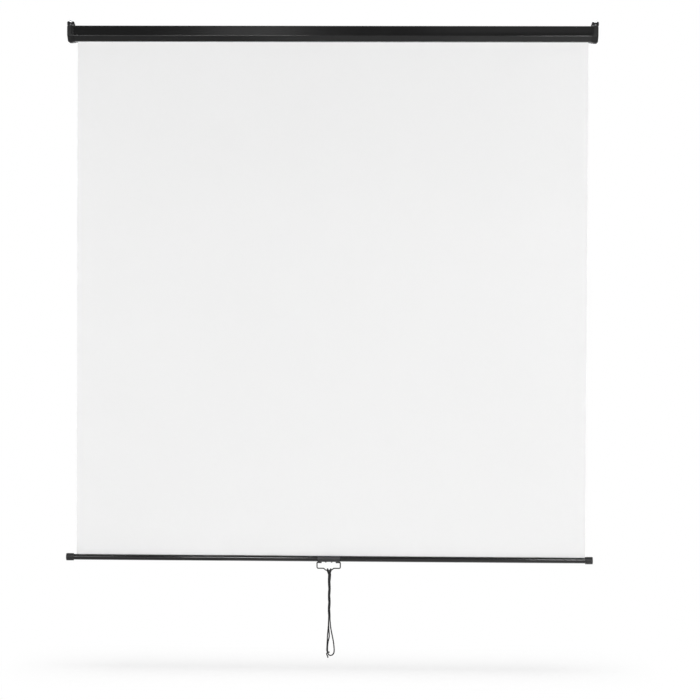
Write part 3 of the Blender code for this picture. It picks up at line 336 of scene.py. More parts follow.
def cloth(name, colour, pitch):
    """Coated cloth: a close plain weave, a little slub and a dull face."""

    def make(recipe):
        where = recipe.places()
        turn = math.tau / pitch
        split = recipe.node("ShaderNodeSeparateXYZ", {}, {0: where})
        warp, weft = (recipe.sine(recipe.part(split, axis) * turn) for axis in (0, 2))
        weave = warp * weft
        slub = recipe.noise(recipe.places((1.0, 1.0, 0.06)), scale=420.0, detail=3.0)
        cloud = recipe.noise(where, scale=3.0)
        return {
            "Base Color": recipe.blend(0.4 * cloud + 0.3 * slub, colour, lighter(colour, 0.06)),
            "Roughness": 0.82 + 0.08 * slub,
            "Normal": recipe.bump(weave + slub, strength=0.06, distance=0.00006),
        }

    return finish(name, {"Specular IOR Level": 0.04}, make)


def braided(name, colour):
    """Braided cord: the crests of its strands are painted a little paler than the hollows, a painted
    highlight on the crests and painted shade in the hollows.
    """

    def make(recipe):
        crest = recipe.node("ShaderNodeAttribute", {"attribute_name": "crest"}, out="Fac")
        fibre = recipe.noise(recipe.places((1.0, 1.0, 0.3)), scale=3000.0)
        return {
            # Paler crests and darker hollows are painted highlight and painted shade; the fibre noise is
            # the cord's own tone
            "Base Color": recipe.blend(crest * 0.7 + fibre * 0.3, colour, lighter(colour, 0.012)),
            "Roughness": 0.68 + 0.2 * fibre - 0.08 * crest,
            "Normal": recipe.bump(fibre, strength=0.3, distance=0.00008),
        }

    return finish(name, {"Specular IOR Level": 0.1}, make)


def piece(name, work, material, body, slot, *stands_for):
    """Make a bmesh a piece that rides on a body and stands for CAD nodes."""
    mesh = bpy.data.meshes.new(name)
    work.to_mesh(mesh)
    work.free()
    mesh.materials.append(material)
    mesh.shade_smooth()
    mesh.set_sharp_from_angle(angle=SMOOTH_BELOW)
    thing = bpy.data.objects.new(name, mesh)
    bpy.context.scene.collection.objects.link(thing)
    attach(thing, body)
    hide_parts(*stands_for)
    return thing


def tidy(work):
    """Merge what touches and turn the faces outwards."""
    bmesh.ops.remove_doubles(work, verts=work.verts, dist=MERGE)
    bmesh.ops.recalc_face_normals(work, faces=work.faces)
    return work


def in_order(work):
    """Make a mesh again with corners and faces sorted, as extruding leaves them in a chance order."""
    corners = sorted(work.verts, key=lambda corner: [round(value, 7) for value in corner.co])
    ranks = {corner: rank for rank, corner in enumerate(corners)}
    loops = []
    for face in work.faces:
        loop = [ranks[corner] for corner in face.verts]
        first = loop.index(min(loop))
        loops.append(loop[first:] + loop[:first])
    points = [corner.co.copy() for corner in corners]
    work.clear()
    corners = [work.verts.new(point) for point in points]
    for loop in sorted(loops):
        work.faces.new([corners[rank] for rank in loop])
    work.normal_update()
    return work


def wire_of(work, points, closed=False):
    """Corners and the edges between them."""
    corners = [work.verts.new(point) for point in points]
    pairs = list(zip(corners, corners[1:]))
    if closed:
        pairs.append((corners[-1], corners[0]))
    for pair in pairs:
        work.edges.new(pair)
    return corners


def bend(work, corner, radius):
    """Round one corner of a wire or an outline."""
    near, far = (edge.other_vert(corner).co - corner.co for edge in corner.link_edges)
    reach = radius / math.tan(near.angle(far) / 2)
    bmesh.ops.bevel(
        work, geom=[corner], offset=reach, offset_type="OFFSET", segments=BEND_STEPS, profile=0.5,
        affect="VERTICES", material=-1,
    )


def run_along_x(work, reach):
    """Draw a wire out along X into a strip of faces."""
    grown = bmesh.ops.extrude_edge_only(work, edges=work.edges[:])["geom"]
    moved = [item for item in grown if isinstance(item, bmesh.types.BMVert)]
    bmesh.ops.translate(work, verts=moved, vec=(reach, 0.0, 0.0))
    in_order(work)


def strip(points, radii, low, high):
    """A wire of YZ points with bent corners, run along X from low to high."""
    work = bmesh.new()
    corners = wire_of(work, [(low, y, z) for y, z in points])
    for corner, radius in zip(corners, radii):
        if radius:
            bend(work, corner, radius)
    run_along_x(work, high - low)
    return work


def walled(work, wall, outward):
    """Thicken a strip inwards. Outward says which way a face's own side points."""
    bmesh.ops.recalc_face_normals(work, faces=work.faces)
    sample = max(work.faces, key=lambda face: face.calc_area())
    if sample.normal.dot(outward(sample)) < 0:
        bmesh.ops.reverse_faces(work, faces=work.faces)
    bmesh.ops.solidify(work, geom=work.faces[:], thickness=wall)
    return in_order(tidy(work))


def block(points, radii, low, high, axis):
    """An outline with bent corners, run along X or Y from low to high."""
    work = bmesh.new()
    if axis == "X":
        spots, run = [(low, u, v) for u, v in points], (high - low, 0.0, 0.0)
    else:
        spots, run = [(u, low, v) for u, v in points], (0.0, high - low, 0.0)
    corners = wire_of(work, spots, closed=True)
    for corner, radius in zip(corners, radii):
        if radius:
            bend(work, corner, radius)
    face = bmesh.ops.contextual_create(work, geom=work.edges[:])["faces"]
    grown = bmesh.ops.extrude_face_region(work, geom=face)["geom"]
    moved = [item for item in grown if isinstance(item, bmesh.types.BMVert)]
    bmesh.ops.translate(work, verts=moved, vec=run)
    return in_order(tidy(work))


def bevel_edges(work, edges, width, segments):
    bmesh.ops.bevel(
        work, geom=edges, offset=width, segments=segments, profile=0.5, affect="EDGES", material=-1,
        clamp_overlap=True,
    )
    return in_order(tidy(work))


def box(low, high):
    """A box between two corners."""
    low, high = Vector(low), Vector(high)
    work = bmesh.new()
    place = Matrix.Translation((low + high) / 2) @ Matrix.Diagonal((*(high - low), 1.0))
    bmesh.ops.create_cube(work, size=1.0, matrix=place)
    return work


def turned(profile, centre, way, steps=ROUND_STEPS, start=0.0):
    """Spin a profile of (along, radius) points about a line through centre, from a start angle."""
    work = bmesh.new()
    points = [(along, radius * math.sin(start), radius * math.cos(start)) for along, radius in profile]
    wire_of(work, points, closed=profile[0][1] > 0)
    bmesh.ops.spin(
        work, geom=work.verts[:] + work.edges[:], cent=(0, 0, 0), axis=(1, 0, 0), angle=math.tau,
        steps=steps, use_merge=True,
    )
    in_order(tidy(work))
    turn = Vector(way).to_track_quat("X", "Z").to_matrix().to_4x4()
    bmesh.ops.transform(work, matrix=Matrix.Translation(centre) @ turn, verts=work.verts)
    return work


def rod_of(low, high, radius, axis, steps=ROUND_STEPS, start=0.0):
    """A plain rod along X, about a line through axis."""
    profile = ((low, 0.0), (low, radius), (high, radius), (high, 0.0))
    return turned(profile, (0.0, axis.y, axis.z), (1, 0, 0), steps, start)


def joined(*works):
    """Several meshes in one."""
    whole = bmesh.new()
    for work in works:
        mesh = bpy.data.meshes.new("join")
        work.to_mesh(mesh)
        work.free()
        whole.from_mesh(mesh)
        bpy.data.meshes.remove(mesh)
    return whole


def carved(base, steps):
    """Cut and join solids, in order, with exact booleans."""
    helpers = []
    for work in [base] + [work for _, work in steps]:
        mesh = bpy.data.meshes.new("solid")
        work.to_mesh(mesh)
        work.free()
        helper = bpy.data.objects.new("solid", mesh)
        bpy.context.scene.collection.objects.link(helper)
        helpers.append(helper)
    for (operation, _), helper in zip(steps, helpers[1:]):
        step = helpers[0].modifiers.new(operation.lower(), "BOOLEAN")
        step.operation = operation
        step.solver = "EXACT"
        step.object = helper
    graph = bpy.context.evaluated_depsgraph_get()
    work = bmesh.new()
    work.from_object(helpers[0], graph)
    for helper in helpers:
        mesh = helper.data
        bpy.data.objects.remove(helper, do_unlink=True)
        bpy.data.meshes.remove(mesh)
    bmesh.ops.dissolve_degenerate(work, edges=work.edges, dist=MERGE)
    return tidy(work)


def arc_path(corners, radii, closed=False):
    """Points of a wire's line through corners, with an arc at each bend."""
    points = []
    count = len(corners)
    for index, (corner, radius) in enumerate(zip(corners, radii)):
        here = Vector(corner)
        if not radius:
            points.append(here)
            continue
        back = (Vector(corners[index - 1]) - here).normalized()
        ahead = (Vector(corners[(index + 1) % count]) - here).normalized()
        half = back.angle(ahead) / 2
        centre = here + (back + ahead).normalized() * radius / math.sin(half)
        first = here + back * radius / math.tan(half) - centre
        last = here + ahead * radius / math.tan(half) - centre
        for step in range(BEND_STEPS + 1):
            points.append(centre + first.slerp(last, step / BEND_STEPS) * radius)
    if closed:
        points.append(points[0].copy())
    return points


def spine_of(path, closed=False):
    """Each point of a path, with two directions across it that never twist."""
    steps = [(far - near).normalized() for near, far in zip(path, path[1:])]
    ways = [(near + far).normalized() for near, far in zip(steps, steps[1:])]
    ends = [(steps[-1] + steps[0]).normalized()] * 2 if closed else [steps[0], steps[-1]]
    ways = [ends[0]] + ways + [ends[1]]
    # A closed path is flat, so its normal comes round to where it started
    across = (steps[0].cross(steps[1]) if closed else ways[0].orthogonal()).normalized()
    spine = []
    for point, way in zip(path, ways):
        across = (across - way * across.dot(way)).normalized()
        spine.append((point, across, way.cross(across)))
    return spine


def tube(path, radius, sides=WIRE_SIDES, closed=False, relief=None):
    """A grid bent round a path. Relief gives a point's height over the radius, and its crest."""
    work = bmesh.new()
    last = len(path) - 1
    bmesh.ops.create_grid(work, x_segments=last, y_segments=sides, size=1.0)
    crest = work.verts.layers.float.new("crest") if relief else None
    spine = spine_of(path, closed)
    for corner in work.verts:
        step = round((corner.co.x + 1) / 2 * last)
        angle = math.pi * (corner.co.y + 1)
        height = 0.0
        if relief:
            height, corner[crest] = relief(step, angle)
        point, across, over = spine[step]
        corner.co = point + (across * math.cos(angle) + over * math.sin(angle)) * (radius + height)
    bmesh.ops.remove_doubles(work, verts=work.verts, dist=MERGE)
    if not closed:
        bmesh.ops.holes_fill(work, edges=[edge for edge in work.edges if edge.is_boundary])
    return tidy(work)


def sizes_of(context):
    return context.scene.screen_sizes


def colours_of(context):
    return context.scene.screen_finishes


# The camera, as found from the edges of the case, the sheet and the bar
CAMERA_PLACE = Vector((0.2264, -6.5, -0.8318))
CAMERA_YAW = math.radians(-1.488)
CAMERA_PITCH = math.radians(-1.094)
CAMERA_ROLL = math.radians(0.263)
CAMERA_LENS = 109.72
CAMERA_REACH = 100.0

# The floor, and the shadow that it keeps
FLOOR_Z = -1.925
FLOOR_HALF = 14.0
SHADOW_FULL = 0.62
SHADOW_END = 1.0
SHADOW_DEPTH = 0.42
SHADOW_SHARE = 0.33
AMBIENT = 0.19

# Lamps: name, place, aim, width, height, watts, casts shadows, shows in polished pieces
LAMPS = (
    ("left_side", (-4.2, -4.6, 0.4), (-0.1, 0.0, -0.8), 1.2, 1.2, 138.0, False, True),
    ("right_side", (4.6, -4.6, 0.4), (0.1, 0.0, -0.8), 1.2, 1.2, 184.0, False, True),
    ("top", (0.0, -0.02, 1.7), (0.0, -0.02, 0.0), 2.4, 0.4, 60.0, True, True),
    ("back", (0.0, 4.6, -0.9), (0.0, 0.0, -0.8), 1.6, 1.6, 80.0, False, False),
)

# Cards that only polished pieces show: name, place, aim, width, height, watts
CARDS = (
    ("case_card", (-0.51, -4.0, 0.45), (-0.2, 0.0, 0.0), 0.46, 1.2, 7.6),
    ("case_card_right", (0.80, -4.0, 0.75), (0.5, 0.0, 0.0), 0.9, 0.6, 2.6),
    ("bar_card_left", (-0.44, -2.0, -0.45), (-0.2, 0.0, -1.6), 0.5, 0.3, 34.0),
    ("bar_card_right", (1.00, -2.0, -0.45), (0.7, 0.0, -1.6), 0.5, 0.3, 44.0),
    ("bar_card_end", (-1.15, -2.0, -0.45), (-0.8, 0.0, -1.6), 0.3, 0.3, 11.0),
    ("near_card_left", (-0.85, -0.1, -1.9), (-0.85, -0.1, 0.0), 1.0, 1.2, 3.1),
    ("near_card_middle", (0.02, -0.1, -1.9), (0.02, -0.1, 0.0), 0.75, 1.2, 4.9),
    ("near_card_right", (0.90, -0.1, -1.9), (0.90, -0.1, 0.0), 1.0, 1.2, 9.3),
    ("far_card", (0.4, -2.1, -1.9), (0.0, 0.0, 0.0), 4.4, 1.8, 105.0),
    ("far_card_left", (-0.98, -2.1, -1.72), (-0.98, -2.5, 0.0), 0.6, 1.2, 22.0),
    ("far_card_right", (0.97, -2.1, -1.72), (0.97, -2.5, 0.0), 0.5, 1.2, 52.0),
)


def world_light():
    """White for what the camera and polished pieces see, and a softer even light on the rest."""
    world = bpy.data.worlds.new("studio")
    bpy.context.scene.world = world
    world.use_nodes = True
    recipe = Recipe(world.node_tree)
    background = world.node_tree.nodes["Background"]
    background.inputs["Color"].default_value = (1.0, 1.0, 1.0, 1.0)
    seen = seen_directly(recipe)
    strength = seen + (1 - seen) * AMBIENT
    world.node_tree.links.new(strength.socket, background.inputs["Strength"])


def seen_directly(recipe):
    """1 for camera, glossy and transmission rays, and 0 for diffuse ones."""
    rays = recipe.node("ShaderNodeLightPath", out="Is Camera Ray")
    outputs = rays.socket.node.outputs
    glossy = Value(recipe, outputs["Is Glossy Ray"])
    through = Value(recipe, outputs["Is Transmission Ray"])
    total = rays + glossy + through
    return recipe.maths("MINIMUM", total, 1.0)


def floor_finish(colour):
    """A pale floor that keeps a faint shadow near the object and runs out to plain white."""
    material = bpy.data.materials.new("studio_floor")
    material.use_nodes = True
    tree = material.node_tree
    tree.nodes.clear()
    recipe = Recipe(tree)
    matte = recipe.node("ShaderNodeBsdfDiffuse", {}, {"Color": (*colour, 1.0)})
    white = recipe.node("ShaderNodeEmission", {}, {"Color": (1.0, 1.0, 1.0, 1.0), "Strength": 1.0})
    own = recipe.node("ShaderNodeTexCoord", out="Object")
    split = recipe.node("ShaderNodeSeparateXYZ", {}, {0: own})
    along = recipe.spread(recipe.size_of(split), SHADOW_FULL, SHADOW_END, SHADOW_SHARE, 0.0)
    across = recipe.spread(recipe.size_of(recipe.part(split, 1)), 0.0, SHADOW_DEPTH, 1.0, 0.0)
    shown = recipe.node("ShaderNodeMixShader", {}, {0: along * across, 1: white, 2: matte})
    surface = recipe.node("ShaderNodeMixShader", {}, {0: seen_directly(recipe), 1: matte, 2: shown})
    recipe.node("ShaderNodeOutputMaterial", {}, {"Surface": surface})
    return material


def make_floor(colour):
    work = bmesh.new()
    place = Matrix.Translation((0.0, 0.0, FLOOR_Z))
    bmesh.ops.create_grid(work, x_segments=1, y_segments=1, size=FLOOR_HALF, matrix=place)
    mesh = bpy.data.meshes.new("floor")
    work.to_mesh(mesh)
    work.free()
    mesh.materials.append(floor_finish(colour))
    floor = bpy.data.objects.new("floor", mesh)
    bpy.context.scene.collection.objects.link(floor)


def area_lamp(name, place, aim, width, height, watts):
    """A rectangular lamp that the camera doesn't see."""
    lamp = bpy.data.lights.new(name, "AREA")
    lamp.shape = "RECTANGLE"
    lamp.size = width
    lamp.size_y = height
    lamp.energy = watts
    holder = bpy.data.objects.new(name, lamp)
    holder.location = place
    holder.rotation_euler = (Vector(aim) - Vector(place)).to_track_quat("-Z", "Y").to_euler()
    holder.visible_camera = False
    bpy.context.scene.collection.objects.link(holder)
    return holder


def make_lamps():
    for *shape, casts, gloss in LAMPS:
        holder = area_lamp(*shape)
        holder.data.use_shadow = casts
        holder.visible_glossy = gloss
    for card in CARDS:
        holder = area_lamp(*card)
        holder.data.use_shadow = False
        holder.visible_diffuse = False


def make_camera():
    flat = math.cos(CAMERA_PITCH)
    ahead = Vector((math.sin(CAMERA_YAW) * flat, math.cos(CAMERA_YAW) * flat, math.sin(CAMERA_PITCH)))
    level = Vector((math.cos(CAMERA_YAW), -math.sin(CAMERA_YAW), 0.0))
    rise = level.cross(ahead)
    right = level * math.cos(CAMERA_ROLL) + rise * math.sin(CAMERA_ROLL)
    up = rise * math.cos(CAMERA_ROLL) - level * math.sin(CAMERA_ROLL)
    data = bpy.data.cameras.new("camera")
    data.lens = CAMERA_LENS
    data.clip_end = CAMERA_REACH
    camera = bpy.data.objects.new("camera", data)
    turn = Matrix((right, up, -ahead)).transposed().to_4x4()
    camera.matrix_world = Matrix.Translation(CAMERA_PLACE) @ turn
    bpy.context.scene.collection.objects.link(camera)
    bpy.context.scene.camera = camera


class SCREEN_OT_stage(bpy.types.Operator):
    """Make the floor, the light and the camera"""

    bl_idname = "projection_screen.stage"
    bl_label = "Stage"

    def execute(self, context):
        context.scene.view_settings.view_transform = "Standard"
        make_camera()
        make_floor(colours_of(context).floor)
        make_lamps()
        world_light()
        return {"FINISHED"}


# The cord's route, in metres from the middle of the handle's dip
CORD_STEP = 0.00045
CORD_SIDES = 24
CORD_CARRIERS = 4
CORD_LAY = 0.0085
CORD_RELIEF = 0.00011
SMOOTH_PIECES = 24
TWIST_RADIUS = 0.0024
TWIST_TOP = -0.0138
TWIST_BOTTOM = -0.1400
TWIST_OFFSET = 0.0024
TWIST_LEAN = -0.0002
TWIST_POINTS = 10
RIGHT_PHASE = 0.0
BACK_PHASE = math.radians(120)
FRONT_PHASE = math.radians(240)
HITCH_SPREAD = 0.0012
SPREAD_TOP = 0.0050
SPREAD_FULL = -0.0040
SPREAD_END = -0.0480
HITCH_SHIFT = 0.0016
TUCKED_END = (0.0016, 0.0010, -0.0082)
HITCH_HALF = (
    (0.0000, -0.0037, -0.0047),
    (0.0030, -0.0038, -0.0041),
    (0.0046, -0.0037, -0.0014),
    (0.0048, -0.0030, 0.0021),
    (0.0048, 0.0000, 0.0037),
    (0.0047, 0.0031, 0.0020),
    (0.0041, 0.0036, -0.0030),
    (0.0024, 0.0016, -0.0080),
)
LOOP_ROUTE = (
    (0.0047, -0.0002, -0.1520),
    (0.0060, -0.0004, -0.1660),
    (0.0082, -0.0005, -0.1820),
    (0.0116, -0.0005, -0.1990),
    (0.0150, -0.0003, -0.2160),
    (0.0169, 0.0000, -0.2300),
    (0.0179, 0.0000, -0.2430),
    (0.0172, 0.0000, -0.2515),
    (0.0140, 0.0000, -0.2576),
    (0.0083, 0.0000, -0.2606),
    (0.0029, 0.0002, -0.2596),
    (-0.0008, 0.0008, -0.2552),
    (-0.0020, 0.0013, -0.2490),
    (-0.0024, 0.0017, -0.2400),
    (-0.0018, 0.0020, -0.2280),
    (-0.0002, 0.0022, -0.2165),
    (0.0022, 0.0023, -0.2060),
    (0.0024, 0.0022, -0.1950),
    (0.0012, 0.0021, -0.1800),
    (0.0006, 0.0021, -0.1600),
)
END_ROUTE = (
    (0.0004, -0.0020, -0.1600),
    (-0.0010, -0.0019, -0.1820),
    (-0.0026, -0.0017, -0.2000),
    (-0.0031, -0.0018, -0.2140),
    (-0.0038, -0.0019, -0.2280),
    (-0.0042, -0.0023, -0.2380),
    (-0.0044, -0.0026, -0.2440),
)
KNOT_TURNS = 0.75
KNOT_POINTS_PER_TURN = 10
KNOT_RADIUS = 0.0042
KNOT_TOP = -0.2484
KNOT_PITCH = 0.0085
KNOT_START = math.radians(252)
TAIL_ROUTE = (
    (-0.0043, 0.0016, -0.2592),
    (-0.0018, 0.0003, -0.2635),
    (-0.0010, -0.0004, -0.2680),
)


def smooth(points, step):
    """Points at even steps along a smooth curve through the given points."""
    knots = [Vector(point) for point in points]
    knots = [knots[0] * 2 - knots[1]] + knots + [knots[-1] * 2 - knots[-2]]
    fine = []
    for before, start, end, after in zip(knots, knots[1:], knots[2:], knots[3:]):
        for index in range(SMOOTH_PIECES):
            t = index / SMOOTH_PIECES
            curve = (end - before) * t
            curve += (before * 2 - start * 5 + end * 4 - after) * t * t
            curve += (start * 3 - before - end * 3 + after) * t * t * t
            fine.append(start + curve / 2)
    fine.append(knots[-2])
    lengths = [0.0]
    for first, second in zip(fine, fine[1:]):
        lengths.append(lengths[-1] + (second - first).length)
    count = max(2, round(lengths[-1] / step))
    spread, place = [], 0
    for index in range(count + 1):
        want = lengths[-1] * index / count
        while place < len(lengths) - 2 and lengths[place + 1] < want:
            place += 1
        share = (want - lengths[place]) / (lengths[place + 1] - lengths[place])
        spread.append(fine[place].lerp(fine[place + 1], share))
    return spread


def twisted(phase):
    """One strand of the twisted stretch, from the top down."""
    points = []
    for step in range(TWIST_POINTS + 1):
        share = step / TWIST_POINTS
        angle = phase + math.tau * share
        x = TWIST_OFFSET + TWIST_LEAN * share + TWIST_RADIUS * math.cos(angle)
        z = TWIST_TOP + (TWIST_BOTTOM - TWIST_TOP) * share
        points.append((x, TWIST_RADIUS * math.sin(angle), z))
    return points


def hitch_route():
    """The hitch on the wire, from above the front strand to above the right strand."""
    left = [(HITCH_SHIFT - x, y, z) for x, y, z in HITCH_HALF[1:]]
    right = [(HITCH_SHIFT + x, y, z) for x, y, z in HITCH_HALF]
    return left[::-1] + right


def rising(path):
    """The stretch of a loop past its lowest point."""
    lowest = min(path, key=lambda point: point.z)
    return path[path.index(lowest) :]


def knot_route(core):
    """From the end strand, three quarters of a turn round the loop's back strand, then the tail."""
    points = []
    steps = round(KNOT_TURNS * KNOT_POINTS_PER_TURN)
    for step in range(steps + 1):
        turn = KNOT_TURNS * step / steps
        z = KNOT_TOP - KNOT_PITCH * turn
        middle = min(core, key=lambda point: abs(point.z - z))
        angle = KNOT_START + math.tau * turn
        x = middle.x + KNOT_RADIUS * math.cos(angle)
        y = middle.y + KNOT_RADIUS * math.sin(angle)
        points.append((x, y, z))
    return points + list(TAIL_ROUTE)


def cord_path():
    """One line from the tucked end, round the loop, over the wire and down to the knot."""
    loop = twisted(RIGHT_PHASE) + list(LOOP_ROUTE) + twisted(BACK_PHASE)[::-1]
    core = rising(smooth(loop, CORD_STEP))
    end = twisted(FRONT_PHASE) + list(END_ROUTE)
    line = [TUCKED_END] + loop[::-1] + hitch_route()[::-1] + end + knot_route(core)
    return [CORD_AXIS + point for point in smooth(line, CORD_STEP)]


class SCREEN_OT_cord(bpy.types.Operator):
    """Make the braided pull cord, hitched on the handle, with its loop and knot"""

    bl_idname = "projection_screen.cord"
    bl_label = "Pull cord"

    def execute(self, context):
        diameter = sizes_of(context).cord_diameter
        path = cord_path()
        length = sum((far - near).length for near, far in zip(path, path[1:]))
        last = len(path) - 1

        def relief(step, angle):
            along = math.tau * CORD_CARRIERS * step * length / last / CORD_LAY
            over = math.sin(CORD_CARRIERS * angle + along)
            under = math.sin(CORD_CARRIERS * angle - along)
            crest = max(over, under) * 0.5 + 0.5
            drop = path[step].z - CORD_AXIS.z
            above = (SPREAD_TOP - drop) / (SPREAD_TOP - SPREAD_FULL)
            below = (drop - SPREAD_END) / (SPREAD_FULL - SPREAD_END)
            spread = HITCH_SPREAD * max(0.0, min(above, below, 1.0))
            return CORD_RELIEF * (crest - 1.0) + spread, crest

        work = tube(path, diameter / 2, CORD_SIDES, relief=relief)
        nodes = ("cord_hitch", "pull_cord", "pull_cord_end", "cord_knot")
        braid = braided("cord_braid", colours_of(context).cord)
        cord = piece("pull_cord_braid", work, braid, "pull_cord", "black_cord", *nodes)
        return {"FINISHED"}


def case_corners(sizes, grow=0.0):
    """The case's outer corners, from the rear lip round to the front lip, moved out by grow."""
    bottom, top = CASE_LOW.z, CASE_HIGH.z
    front = CASE_LOW.y
    crease = top - sizes.case_front
    slant = math.atan2(sizes.case_slant, crease - bottom)
    foot = front + sizes.case_slant - grow * math.tan((math.pi / 2 - slant) / 2)
    lip = -sizes.slot_rear - sizes.slot_width
    return (
        (-sizes.slot_rear, bottom - grow),
        (CASE_HIGH.y + grow, bottom - grow),
        (CASE_HIGH.y + grow, top + grow),
        (front - grow, top + grow),
        (front - grow, crease - grow * math.tan(slant / 2)),
        (foot, bottom - grow),
        (lip, bottom - grow),
        (lip, bottom + sizes.slot_lip),
    )


def case_bends(sizes, grow=0.0):
    back, crease = sizes.back_bend + grow, sizes.crease_bend + grow
    return (0.0, back, back, sizes.top_bend + grow, crease, crease, sizes.lip_bend + grow, 0.0)


class SCREEN_OT_case(bpy.types.Operator):
    """Make the folded steel case"""

    bl_idname = "projection_screen.case"
    bl_label = "Case"

    def execute(self, context):
        sizes = sizes_of(context)
        work = strip(case_corners(sizes), case_bends(sizes), CASE_LOW.x, CASE_HIGH.x)
        middle = (CASE_LOW + CASE_HIGH) / 2
        walled(work, sizes.case_wall, lambda face: face.calc_center_median() - middle)
        for face in work.faces:
            face.material_index = int(max(face.normal.y, face.normal.z) > FACING)
        colour, crease = colours_of(context).paint, CASE_HIGH.z - sizes.case_front
        # The paler band along the crease is a painted highlight, and rubbed paint as well
        paint = powder_coat("case_paint", colour, roughness=0.13, fold=crease)
        dull = powder_coat("case_paint_dull", colour, roughness=0.6)
        shell = piece("case_shell", work, paint, "case", "black_steel", "case_profile")
        shell.data.materials.append(dull)
        return {"FINISHED"}


# The end caps and their lugs: the right-hand one, seen from the front
CASE_GAP = 0.0003
CAP_POCKET_WALL = 0.0045
CAP_POCKET_DEPTH = 0.0080
BOSS_RADIUS = 0.0080
BOSS_REACH = 0.0027
LUG_CENTRE_INSET = 0.0082
LUG_WIDTH = 0.0197
LUG_FOOT = 0.0040
LUG_FOOT_HEIGHT = 0.0015
LUG_HEIGHT = 0.0153
LUG_OUTSET = 0.0023
LUG_WAIST = 0.0040
LUG_WAIST_DEPTH = 0.0028
HORN_GAP = 0.0115
HORN_HEIGHT = 0.0024
INNER_HORN_DROP = 0.0006
LUG_CHAMFER = 0.0024
RING_SIDE_GAP = 0.0004
RIM_STEPS = 6
EDGE_STEPS = 3


def cap_outline(sizes, inset):
    """The outline of an end cap's plate or collar, flush with the case's back."""
    front = CASE_LOW.y - sizes.cap_wall + inset
    return (
        (0.0, CAP_LOW.z + inset),
        (0.0, CASE_HIGH.z + sizes.cap_wall - inset),
        (front, CASE_HIGH.z + sizes.cap_wall - inset),
        (front, CASE_HIGH.z - sizes.case_front),
        (CASE_LOW.y + sizes.case_slant, CAP_LOW.z + inset),
    )


def rim_at(work, x):
    """The edges round a flat end."""
    return [
        edge
        for edge in work.edges
        if all(abs(corner.co.x - x) < MERGE for corner in edge.verts) and len(edge.link_faces) == 2
    ]


def lug_block(sizes, outer):
    """The lug on the right-hand cap."""
    top = CASE_HIGH.z + LUG_HEIGHT
    base = CASE_HIGH.z + CASE_GAP
    side = outer + LUG_OUTSET
    inner = side - LUG_WIDTH
    centre = outer - LUG_CENTRE_INSET
    outline = (
        (inner - LUG_FOOT, base),
        (inner - LUG_FOOT, base + LUG_FOOT_HEIGHT),
        (inner, top - INNER_HORN_DROP),
        (centre - HORN_GAP / 2, top - INNER_HORN_DROP),
        (centre - HORN_GAP / 2, top - HORN_HEIGHT),
        (centre + HORN_GAP / 2, top - HORN_HEIGHT),
        (centre + HORN_GAP / 2, top),
        (side - LUG_CHAMFER, top),
        (side, top - LUG_CHAMFER),
        (side, base + LUG_WAIST),
        (side - LUG_WAIST_DEPTH, base),
    )
    edge = sizes.lug_edge
    radii = (0, 0, edge, 0, 0, 0, 0, edge, edge, edge, 0)
    low = RING_MIDDLE.y - sizes.lug_depth / 2
    work = block(outline, radii, low, low + sizes.lug_depth, "Y")
    rims = [
        rim for rim in work.edges if any(abs(face.normal.y) > FACING for face in rim.link_faces)
    ]
    return bevel_edges(work, rims, edge, EDGE_STEPS)


def polish_collar(work, sizes):
    """Give the collar's faces the second finish, smoother than the plate and the lug."""
    seat = CASE_HIGH.x + CASE_GAP - MERGE
    top = CASE_HIGH.z + sizes.cap_wall
    for face in work.faces:
        centre = face.calc_center_median()
        face.material_index = int(centre.x < seat and centre.z < top)
    return work


